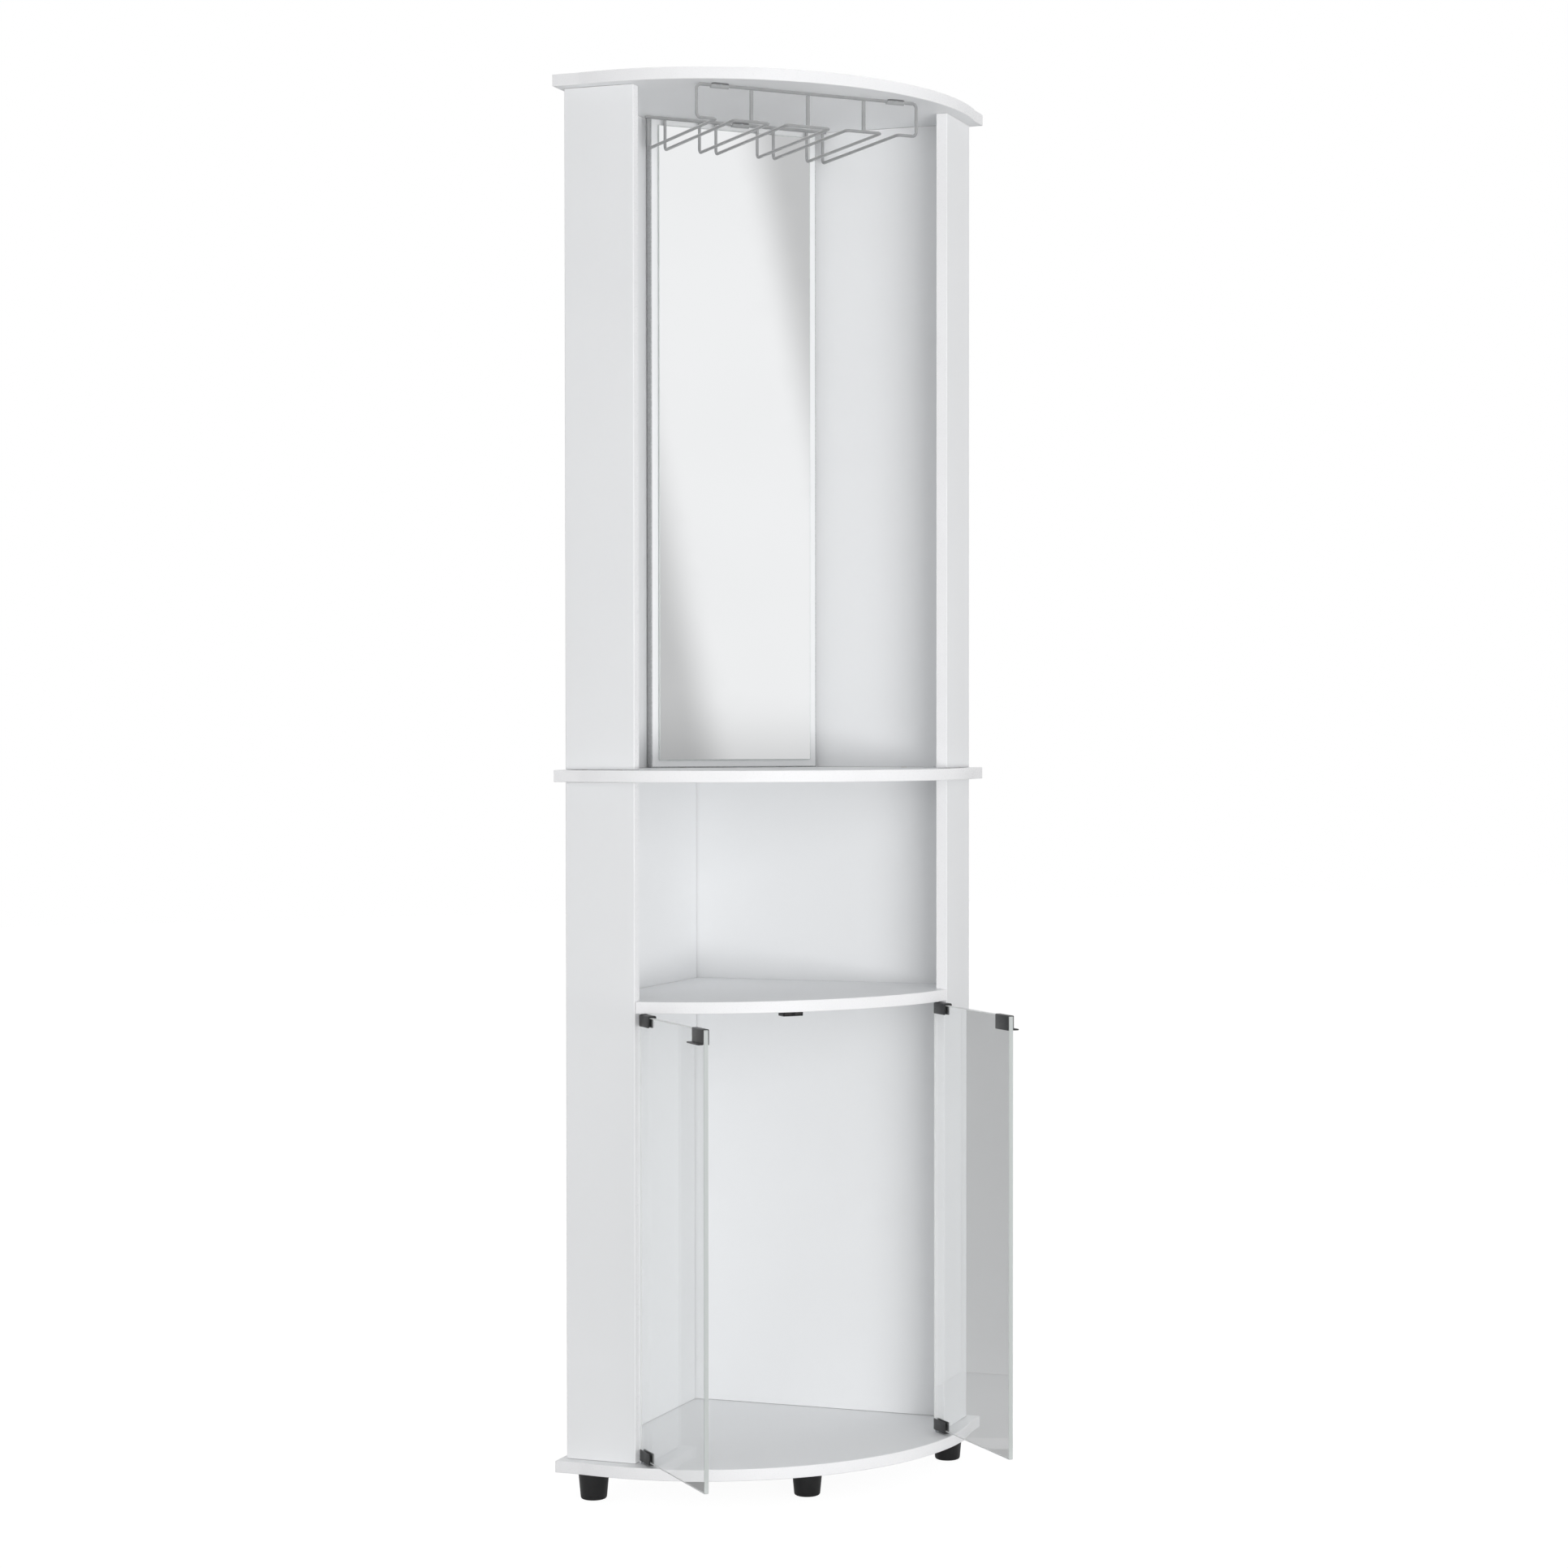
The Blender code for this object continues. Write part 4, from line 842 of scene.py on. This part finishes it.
@dataclass
class Feet(Assembly):
    """Four tapered feet with a recess for their screws."""

    recess_radius: float = 6.5 * MM
    recess_depth: float = 24 * MM
    bore_radius: float = 2.4 * MM
    bottom_share: float = 0.825
    rims: tuple[float, ...] = (0.8 * MM, 3 * MM, 0.8 * MM, 0.8 * MM)
    rim_steps: int = 6
    steps: int = 72
    screw_head: float = 2.6 * MM
    screw_shank: float = 2.0 * MM

    def build(self) -> None:
        """Build the feet and their screws."""
        for place in ("front_left", "front_right", "front_middle", "rear_corner"):
            node = place + "_foot"
            low, high, centre = spot(node)
            radius = (high.x - low.x) / 2
            profile = [(self.bore_radius, high.z), (radius, high.z),
                       (radius * self.bottom_share, 0.0), (self.recess_radius, 0.0),
                       (self.recess_radius, self.recess_depth),
                       (self.bore_radius, self.recess_depth)]
            bm = turned(profile, centre, self.rims, self.steps, self.rim_steps, closed=True)
            self.shop.piece(node, bm, (POLYPROPYLENE,), "black_plastic", sharp=SHARP_FOOT)
            Screw(self.shop, node + "_screw", self.screw_head, self.screw_shank).build()


@dataclass
class Door(Assembly):
    """One frameless glass door with its clamps, liners, pins and strike clip."""

    side: str
    body: Body
    glass: float = 6 * MM
    arris: float = 0.9 * MM
    sheet: float = 1.6 * MM
    liner: float = 0.8 * MM
    gap: float = 0.1 * MM
    leg: float = 12.5 * MM
    liner_leg: float = 11.5 * MM
    strike_sheet: float = 1.0 * MM
    strike_height: float = 18 * MM
    strike_lip: float = 7 * MM
    hem: float = 1.05 * MM
    hem_start: float = 1.0 * MM
    pin_radius: float = 2.5 * MM
    pin_ease: float = 0.4 * MM
    bore_steps: int = 32
    ease_steps: int = 2

    def pane(self) -> None:
        """Build the pane with its ground edges."""
        bm = bmesh.new()
        add_box(bm, *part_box(self.side + "_door_glass"))
        bevel_edges(bm, self.arris)
        # Edges that don't face forward take the whiter copy of the ground edge: a painted
        # highlight.
        for face in bm.faces:
            leading = face.normal.y < -(1 - SQUARE)
            face.material_index = 0 if abs(face.normal.x) > SQUARE else 1 if leading else 2
        self.shop.piece(self.side + "_door_glass", bm, (PANE_GLASS, PANE_EDGE, PANE_RIM_PAINTED_HIGHLIGHT),
                        "door_glass", self.body, weighted=True)

    def fold(self, node: str, profile: list[Pair], sheet: float,
             radii: Sequence[float] = ()) -> Shape:
        """Fold a sheet as long as its node and ease its cut edges.

        Args:
            node: The node's name.
            profile: Middle line of the section, across the pane and up.
            sheet: Sheet thickness.
            radii: Radius of each fold, or none for the usual one.

        Returns:
            The folded sheet, along x.
        """
        low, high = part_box(node)
        folds = radii or [sheet * FOLD_SHARE] * (len(profile) - 2)
        bm = folded_sheet(profile, folds, high.y - low.y, sheet)
        rims = [e for e in bm.edges if e.calc_face_angle(0) > CUT_TURN]
        bevel_edges(bm, sheet * EASE_SHARE, self.ease_steps, rims)
        return bm

    def channel(self, node: str, sheet: float, web: float, leg: float, upright: int) -> Shape:
        """Fold a U channel over an edge of the pane, in its node's place.

        Args:
            node: The node's name.
            sheet: Sheet thickness.
            web: Clearance round the glass.
            leg: Height of the legs from the edge of the glass.
            upright: 1 where the web is on top, -1 where it is below.

        Returns:
            The folded channel.
        """
        low, high, centre = spot(node)
        edge = high.z - web - sheet if upright > 0 else low.z + web + sheet
        across, top = self.glass / 2 + web + sheet / 2, web + sheet / 2
        bm = self.fold(node, [(-across, -leg), (-across, top), (across, top), (across, -leg)],
                       sheet)
        turn = Matrix.Rotation(math.radians(-90), 4, "Z") @ Matrix.Diagonal((1, 1, upright, 1))
        bmesh.ops.transform(bm, matrix=Matrix.Translation((centre.x, centre.y, edge)) @ turn,
                            verts=bm.verts)
        bmesh.ops.recalc_face_normals(bm, faces=bm.faces)
        return bm

    def clamps(self) -> None:
        """Build the clamps with their bores, the liners and the pivot pins."""
        web = self.liner + 2 * self.gap
        for place, upright in (("top", 1), ("bottom", -1)):
            node = f"{self.side}_door_{place}_clamp"
            low, high, pin = spot(node.replace("clamp", "pin"))
            reach = UP * (high - low).z
            bore = bmesh.new()
            add_rod(bore, pin - reach, pin + reach, self.pin_radius + SEAT_GAP, self.bore_steps)
            clamp = self.channel(node, self.sheet, web, self.leg, upright)
            self.shop.piece(node, cut(clamp, bore), (POWDER_COAT,), "black_steel", self.body,
                            SHARP_FOLD)
            liner = self.channel(node + "_liner", self.liner, self.gap, self.liner_leg, upright)
            self.shop.piece(node + "_liner", liner, (VINYL,), "clamp_liner", self.body,
                            SHARP_FOLD)
            profile = [(0.0, high.z), (self.pin_radius, high.z), (self.pin_radius, low.z),
                       (0.0, low.z)]
            self.shop.piece(node.replace("clamp", "pin"),
                            turned(profile, pin, [self.pin_ease] * 2), (ZINC_PLATE,),
                            "plated_steel", self.body)

    def strike(self) -> None:
        """Fold the strike clip, whose outer leg ends in a hemmed finger lip."""
        node = self.side + "_door_strike_clip"
        _, high, centre = spot(node)
        pane = spot(self.side + "_door_glass")[2]
        sheet, outer = self.strike_sheet, self.glass / 2 + self.gap + self.strike_sheet
        half, top = outer - sheet / 2, self.gap + sheet / 2
        bottom = self.gap - self.strike_height
        level, tip = bottom + sheet / 2, outer + self.strike_lip - sheet / 2
        usual = sheet * FOLD_SHARE
        bm = self.fold(node, [(-half, bottom), (-half, top), (half, top), (half, level),
                              (tip, level), (tip, level + self.hem),
                              (outer + self.hem_start, level + self.hem)],
                       sheet, [usual, usual, usual, self.hem / 2, self.hem / 2])
        flip = Matrix.Diagonal((1, -1 if self.side == "right" else 1, 1, 1))
        turn = Matrix.Rotation(math.radians(90), 4, "Z") @ flip
        place = Matrix.Translation((pane.x, centre.y, high.z - self.gap - sheet))
        bmesh.ops.transform(bm, matrix=place @ turn, verts=bm.verts)
        bmesh.ops.recalc_face_normals(bm, faces=bm.faces)
        self.shop.piece(node, bm, (POWDER_COAT,), "black_steel", self.body, SHARP_FOLD)

    def build(self) -> None:
        """Build the whole door."""
        self.pane()
        self.clamps()
        self.strike()


@dataclass
class Bushes(Assembly):
    """Steel sleeves that the pivot pins turn in."""

    bore: float = 2.8 * MM
    barrel: float = 3.5 * MM
    ease: float = 0.15 * MM
    ease_steps: int = 2

    def build(self) -> None:
        """Turn the plain bushes in the shelf and the flanged ones in the floor board."""
        seat = BOTTOM_BOARD[1].z + SEAT_GAP
        for node in ("left_shelf_bush", "left_floor_bush", "right_shelf_bush",
                     "right_floor_bush"):
            low, high, centre = spot(node)
            profile = [(self.bore, high.z), (self.barrel, high.z), (self.barrel, low.z),
                       (self.bore, low.z)]
            radii = [0.0, 0.0]
            if "floor" in node:
                flange = (high.x - low.x) / 2
                profile[1:2] = [(flange, high.z), (flange, seat), (self.barrel, seat)]
                radii = [self.ease, self.ease, 0.0, self.ease]
            bm = turned(profile, centre, radii, corner_steps=self.ease_steps, closed=True)
            self.shop.piece(node, bm, (ZINC_PLATE,), "plated_steel")


@dataclass
class Catch(Assembly):
    """The double magnetic catch under the niche shelf."""

    screw_head: float = 1.6 * MM
    screw_shank: float = 1.4 * MM

    def build(self) -> None:
        """Dress the catch's body and magnets, and build its screws."""
        self.shop.dress("magnetic_catch_body", POLYPROPYLENE)
        for side in ("left", "right"):
            self.shop.dress(f"catch_{side}_magnet", FERRITE)
            Screw(self.shop, f"catch_{side}_screw", self.screw_head, self.screw_shank).build()


class Wire:
    """A round wire that is pushed forward and bent, as on a bending machine."""

    def __init__(self, start: Vector, heading: Vector, radius: float, segments: int = 20) -> None:
        """Start a wire with a closed end.

        Args:
            start: Middle of its first end.
            heading: Direction that it runs in.
            radius: Wire radius.
            segments: Sides of its round section.
        """
        self.bm = bmesh.new()
        self.place = Vector(start)
        self.heading = Vector(heading).normalized()
        turn = UP.rotation_difference(self.heading).to_matrix().to_4x4()
        made = bmesh.ops.create_circle(self.bm, cap_ends=False, segments=segments, radius=radius,
                                       matrix=Matrix.Translation(self.place) @ turn)
        self.ring = list({e for v in made["verts"] for e in v.link_edges})
        self.cap()

    def cap(self) -> None:
        """Close the wire's present end."""
        bmesh.ops.contextual_create(self.bm, geom=self.ring)

    def push(self, length: float) -> None:
        """Run straight on.

        Args:
            length: How far.
        """
        grown = bmesh.ops.extrude_edge_only(self.bm, edges=self.ring)["geom"]
        moved = set(picked(grown, Vert))
        bmesh.ops.translate(self.bm, verts=list(moved), vec=self.heading * length)
        self.ring = [e for e in picked(grown, Edge) if moved.issuperset(e.verts)]
        self.place += self.heading * length

    def bend(self, heading: Vector, radius: float, steps: int = 8) -> None:
        """Bend round into a new direction.

        Args:
            heading: The new direction.
            radius: Bend radius on the wire's middle line.
            steps: Steps of the bend.
        """
        new = Vector(heading).normalized()
        axis = self.heading.cross(new).normalized()
        inward = axis.cross(self.heading).normalized()
        centre = self.place + inward * radius
        angle = self.heading.angle(new)
        verts = list({v for e in self.ring for v in e.verts})
        spun = bmesh.ops.spin(self.bm, geom=verts + self.ring, cent=centre, axis=axis,
                              dvec=(0, 0, 0), angle=angle, steps=steps, use_merge=False,
                              use_duplicate=False)
        self.ring = picked(spun["geom_last"], Edge)
        self.place = centre + (self.heading * math.sin(angle) - inward * math.cos(angle)) * radius
        self.heading = new

    def finish(self) -> Shape:
        """Close the end and return the shape.

        Returns:
            The closed wire.
        """
        self.cap()
        bmesh.ops.recalc_face_normals(self.bm, faces=self.bm.faces)
        return self.bm


@dataclass
class Rack(Assembly):
    """The wire rack for stemmed glasses and the clips that hold it."""

    wire: float = 2 * MM
    bend: float = 5.5 * MM
    post: float = 2.6 * MM
    weld: float = 2.8 * MM
    bead_steps: tuple[int, int] = (16, 10)
    middle_width: float = 59.7 * MM
    channel: float = 23.5 * MM
    side_width: float = 48.9 * MM
    clip_sheet: float = 1.4 * MM
    clip_width: float = 15 * MM
    clip_length: float = 24.5 * MM
    clip_corner: float = 6.5 * MM
    clip_corner_steps: int = 8
    clip_fold: float = 1.0 * MM
    clip_fold_steps: int = 6
    screw_share: float = 0.76
    screw_bore: float = 1.3 * MM
    screw_head: float = 1.0 * MM
    screw_shank: float = 1.0 * MM

    def __post_init__(self) -> None:
        """Take the rack's levels and lines from the frame."""
        low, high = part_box("rack_outer_wire")
        self.bar = high.z - self.wire
        self.rail = low.z + self.wire
        self.front = low.y + self.wire
        self.end = high.x - self.wire
        _, rear_high, rear_middle = spot("rack_rear_bar")
        self.rear = rear_middle.y
        self.bar_end = rear_high.x
        inner = self.middle_width / 2
        second = inner + self.channel
        third = second + self.side_width
        self.sides = (inner, second, third, third + self.channel)
        self.under = self.bar - self.wire - SEAT_GAP

    def bent(self, corners: Iterable[Point]) -> Shape:
        """Bend a wire along straight runs between corners.

        Args:
            corners: The runs' corners, from end to end.

        Returns:
            The closed wire.
        """
        places = [Vector(corner) for corner in corners]
        runs = [after - before for before, after in zip(places, places[1:])]
        # Each bend takes this much from the runs on its two sides.
        takes = [0.0, *(self.bend * math.tan(a.angle(b) / 2) for a, b in zip(runs, runs[1:])),
                 0.0]
        wire = Wire(places[0], runs[0], self.wire)
        for i, run in enumerate(runs):
            if i:
                wire.bend(run, self.bend)
            wire.push(run.length - takes[i] - takes[i + 1])
        return wire.finish()

    def outer(self) -> Shape:
        """Bend the outer wire: two outer rails joined by the front bar.

        Returns:
            The wire.
        """
        side, end = self.sides[3], self.end
        half = [(side, self.rear, self.under), (side, self.rear, self.rail),
                (side, self.front, self.rail), (end, self.front, self.rail),
                (end, self.front, self.bar)]
        return self.bent([*((-x, y, z) for x, y, z in half), *reversed(half)])

    def hairpin(self, left: float, right: float) -> Shape:
        """Bend one pair of rails and weld its stouter front post on.

        Args:
            left: Place of the left rail.
            right: Place of the right rail.

        Returns:
            The welded wires.
        """
        bm = self.bent([(left, self.rear, self.under), (left, self.rear, self.rail),
                        (left, self.front, self.rail), (right, self.front, self.rail),
                        (right, self.rear, self.rail), (right, self.rear, self.under)])
        foot = Vector(((left + right) / 2, self.front + self.post - self.wire, self.rail))
        add_rod(bm, foot, (foot.x, foot.y, self.under), self.post)
        # The bead sits in the corner, no lower and no further forward than the rail.
        inset = self.weld - self.wire
        bead = Matrix.Translation((foot.x, self.front + inset, self.rail + inset))
        around, upward = self.bead_steps
        bmesh.ops.create_uvsphere(bm, u_segments=around, v_segments=upward, radius=self.weld,
                                  matrix=bead)
        return bm

    def clip(self, node: str) -> Shape:
        """Press one saddle clip with round corners over its bar.

        Args:
            node: The clip's node.

        Returns:
            The clip's shape, the saddle's faces with the second finish, a painted highlight.
        """
        low, high, centre = spot(node)
        arc = self.wire + SEAT_GAP + self.clip_sheet / 2
        half, level = self.clip_width / 2, high.z - self.clip_sheet / 2
        bottom = high.z - self.wire - arc
        # The sheet is pressed larger than the clip, and the blank's outline is what stays.
        pressed = folded_sheet(
            [(-self.clip_width, level), (-arc, level), (-arc, bottom), (arc, bottom),
             (arc, level), (self.clip_width, level)],
            (self.clip_fold, arc, arc, self.clip_fold), 2 * self.clip_length, self.clip_sheet,
            self.clip_fold_steps)
        blank = bmesh.new()
        add_box(blank, (-self.clip_length / 2, -half, low.z - self.clip_sheet),
                (self.clip_length / 2, half, high.z + self.clip_sheet))
        corners = [e for e in blank.edges if abs((e.verts[0].co - e.verts[1].co).z) > WELD]
        bevel_edges(blank, self.clip_corner, self.clip_corner_steps, corners)
        bore, offset = bmesh.new(), -half * self.screw_share
        add_rod(bore, (0, offset, low.z), (0, offset, high.z + self.clip_sheet),
                self.screw_bore)
        result = cut(cut(pressed, blank, "INTERSECT"), bore)
        # The saddle's faces take the painted highlight and the flanges take the painted shade.
        for face in result.faces:
            painted_highlight_face = face.calc_center_median().z < high.z - self.clip_sheet - WELD
            face.material_index = 1 if painted_highlight_face else 0
        bmesh.ops.translate(result, verts=result.verts, vec=(centre.x, centre.y, 0.0))
        return result

    def build(self) -> None:
        """Build the rack, its clips and their screws."""
        inner, second, third, _ = self.sides
        bar = [(end, self.rear, self.bar) for end in (-self.bar_end, self.bar_end)]
        wires = {"rack_outer_wire": self.outer(),
                 "rack_left_hairpin": self.hairpin(-third, -second),
                 "rack_middle_hairpin": self.hairpin(-inner, inner),
                 "rack_right_hairpin": self.hairpin(second, third),
                 "rack_rear_bar": self.bent(bar)}
        for node, bm in wires.items():
            self.shop.piece(node, bm, (WIRE_LACQUER,), "rack_wire", mirrored=False)
        for place in ("front_left", "front_right", "rear"):
            node = f"rack_{place}_clip"
            self.shop.piece(node, self.clip(node), (CLIP_LACQUER_PAINTED_SHADE, SADDLE_LACQUER_PAINTED_HIGHLIGHT), "rack_wire",
                            mirrored=False)
            Screw(self.shop, node + "_screw", self.screw_head, self.screw_shank).build()


@dataclass(frozen=True)
class Lamp:
    """One soft area lamp."""

    name: str
    place: tuple[float, float, float]
    aim: tuple[float, float, float]
    width: float
    height: float
    watts: float
    spread: float = 180.0

    def hang(self) -> None:
        """Hang the lamp, whose face isn't seen by the eye, in gloss or through glass."""
        data = bpy.data.lights.new(self.name, "AREA")
        data.shape, data.size, data.size_y = "RECTANGLE", self.width, self.height
        data.energy, data.spread = self.watts, math.radians(self.spread)
        lamp = bpy.data.objects.new(self.name, data)
        lamp.location = self.place
        aim = Vector(self.aim) - Vector(self.place)
        lamp.rotation_euler = aim.to_track_quat("-Z", "Y").to_euler()
        lamp.visible_camera = lamp.visible_glossy = lamp.visible_transmission = False
        bpy.context.scene.collection.objects.link(lamp)


@dataclass
class Studio:
    """Floor, soft lamps, white surroundings with two grey flags, and the camera."""

    world_level: float = 0.475
    world_colour: tuple[float, float, float, float] = (0.985, 0.99, 1.0, 1.0)
    # The last two are narrow: they whiten the top and the back, and hardly reach the front.
    lamps: tuple[Lamp, ...] = (
        Lamp("front_lamp", (0.0, -4.5, 1.2), (0.0, 0.0, 0.9), 2.0, 2.4, 32),
        Lamp("camera_lamp", (-1.9, -4.2, 1.3), (0.0, 0.0, 0.9), 2.0, 2.2, 15),
        Lamp("low_front_lamp", (0.0, -4.5, 0.4), (0.0, 0.0, 0.7), 2.6, 0.7, 66),
        Lamp("top_lamp", (0.0, 0.05, 2.6), (0.0, 0.05, 1.8), 0.6, 0.6, 0.4, 30.0),
        Lamp("rear_lamp", (0.0, 1.8, 1.0), (0.0, 0.2, 1.0), 1.0, 1.8, 3.0, 40.0),
    )
    floor_size: float = 12.0
    floor_colour: str = "D9D9D9"
    floor_roughness: float = 0.9
    floor_glow: float = 1.25
    floor_share: float = 0.75
    gloss_share: float = 0.2
    pane_share: float = 0.085
    flag_tone: float = 0.62
    flag_lean: float = 0.2274
    flag_middle: float = 0.4428
    flag_edges: tuple[float, float, float, float] = (0.0222, 0.042, 0.2, 0.26)
    ground_edges: Pair = (-0.03, 0.012)
    ground_tone: float = 0.6
    least_ahead: float = 0.001
    eye: tuple[float, float, float] = (-1.6684, -3.8436, 0.9847)
    heading: Pair = (0.4378, 0.8991)
    pitch: float = -1.11
    sensor_mm: float = 36.0
    focal_mm: float = 73.55
    shift: Pair = (-0.0797, 0.0015)
    clip: Pair = (0.05, 100.0)

    def ray_mask(self, tree: Tree, eye: float, gloss: float, glass: float) -> Socket:
        """Make the share in which rays see the plain background.

        Args:
            tree: The node tree.
            eye: Share for camera rays.
            gloss: Share for glossy rays.
            glass: Share for transmission rays.

        Returns:
            The socket that holds the share.
        """
        rays = add_node(tree, "ShaderNodeLightPath").outputs
        # A ray that passes glass counts as glossy too.
        mirrored = add_node(tree, "ShaderNodeMath", {
            0: rays["Is Glossy Ray"], 1: rays["Is Transmission Ray"]},
            operation="SUBTRACT").outputs[0]
        total: Socket | float = 0.0
        for ray, share in ((rays["Is Camera Ray"], eye), (mirrored, gloss),
                           (rays["Is Transmission Ray"], glass)):
            part = add_node(tree, "ShaderNodeMath", {0: ray, 1: share},
                            operation="MULTIPLY").outputs[0]
            total = add_node(tree, "ShaderNodeMath", {0: part, 1: total},
                             operation="MAXIMUM").outputs[0]
        return total

    def gloss_tone(self, tree: Tree) -> Socket:
        """Make the tone that gloss sees: white, two leaning grey flags and a soft horizon.

        Args:
            tree: The world's node tree.

        Returns:
            The socket that holds the tone.
        """
        ray = add_node(tree, "ShaderNodeTexCoord").outputs["Generated"]
        axes = add_node(tree, "ShaderNodeSeparateXYZ", {0: ray}).outputs
        value: dict[Any, Socket] = {"x": axes[0], "y": axes[1], "z": axes[2]}
        inner, full, fade, end = self.flag_edges
        steps = (
            ("ahead", "MULTIPLY", "y", -1.0),
            ("ahead", "MAXIMUM", "ahead", self.least_ahead),
            ("side", "DIVIDE", "x", "ahead"),
            ("rise", "DIVIDE", "z", "ahead"),
            ("lean", "MULTIPLY", "rise", self.flag_lean),
            ("away", "ADD", "side", "lean"),
            ("away", "SUBTRACT", "away", self.flag_middle),
            ("away", "ABSOLUTE", "away"),
            ("darkening", "SMOOTHSTEP", "away", inner, full, 0.0, 1.0 - self.flag_tone),
            ("reach", "SMOOTHSTEP", "away", fade, end, 1.0, 0.0),
            ("flags", "MULTIPLY", "darkening", "reach"),
            ("flags", "SUBTRACT", 1.0, "flags"),
            ("ground", "SMOOTHSTEP", "rise", *self.ground_edges, self.ground_tone, 1.0),
            ("tone", "MULTIPLY", "flags", "ground"),
        )
        for name, work, *terms in steps:
            inputs = {i: value.get(term, term) for i, term in enumerate(terms)}
            node = (add_node(tree, "ShaderNodeMapRange", inputs, interpolation_type=work)
                    if work == "SMOOTHSTEP" else
                    add_node(tree, "ShaderNodeMath", inputs, operation=work))
            value[name] = node.outputs[0]
        return value["tone"]

    def world(self) -> None:
        """Light the set evenly and keep the background white."""
        world = bpy.data.worlds.new("white_studio")
        bpy.context.scene.world = world
        world.use_nodes = True
        tree = world.node_tree
        tree.nodes.clear()
        light = add_node(tree, "ShaderNodeBackground", {
            "Color": self.world_colour, "Strength": self.world_level})
        rays = add_node(tree, "ShaderNodeLightPath")
        tone = add_node(tree, "ShaderNodeMix", {
            0: rays.outputs["Is Glossy Ray"], 2: 1.0, 3: self.gloss_tone(tree)},
            data_type="FLOAT").outputs[0]
        seen = add_node(tree, "ShaderNodeBackground", {"Color": (1, 1, 1, 1), "Strength": tone})
        mix = add_node(tree, "ShaderNodeMixShader", {
            0: self.ray_mask(tree, 1.0, 1.0, 1.0), 1: light.outputs[0], 2: seen.outputs[0]})
        add_node(tree, "ShaderNodeOutputWorld", {"Surface": mix.outputs[0]})

    def floor(self) -> None:
        """Lay a pale floor that keeps the object's shadow."""
        bm = bmesh.new()
        bmesh.ops.create_grid(bm, x_segments=1, y_segments=1, size=self.floor_size)
        floor = placed(bm, "studio_floor")
        material, tree, shader = start_material("pale_studio_floor")
        connect(tree, shader, {
            "Base Color": linear(self.floor_colour), "Roughness": self.floor_roughness,
            "Specular IOR Level": 0.0})
        glow = add_node(tree, "ShaderNodeEmission", {"Strength": self.floor_glow})
        # The eye sees mostly the white tone. Mirror and panes keep more of the floor's own tone.
        share = self.ray_mask(tree, self.floor_share, self.gloss_share, self.pane_share)
        mix = add_node(tree, "ShaderNodeMixShader", {
            0: share, 1: shader.outputs[0], 2: glow.outputs[0]})
        connect(tree, tree.nodes["Material Output"], {"Surface": mix.outputs[0]})
        floor.data.materials.append(material)

    def camera(self) -> None:
        """Set the camera where the photograph was taken from."""
        data = bpy.data.cameras.new("photograph_camera")
        data.sensor_width, data.lens = self.sensor_mm, self.focal_mm
        data.shift_x, data.shift_y = self.shift
        data.clip_start, data.clip_end = self.clip
        camera = bpy.data.objects.new("photograph_camera", data)
        pitch = math.radians(self.pitch)
        ahead = Vector((*(axis * math.cos(pitch) for axis in self.heading), math.sin(pitch)))
        camera.location = self.eye
        camera.rotation_euler = ahead.to_track_quat("-Z", "Y").to_euler()
        bpy.context.scene.collection.objects.link(camera)
        bpy.context.scene.camera = camera

    def build(self) -> None:
        """Set up the studio."""
        self.world()
        self.floor()
        for lamp in self.lamps:
            lamp.hang()
        self.camera()
        bpy.context.scene.view_settings.view_transform = "Standard"


def main() -> None:
    """Build every piece in order."""
    shop = Shop()
    Studio().build()
    for part in (Carcass(shop), Mirror(shop), Feet(shop), Door(shop, "left", Body.LEFT_DOOR),
                 Door(shop, "right", Body.RIGHT_DOOR), Bushes(shop), Catch(shop), Rack(shop)):
        part.build()


if __name__ == "__main__":
    main()
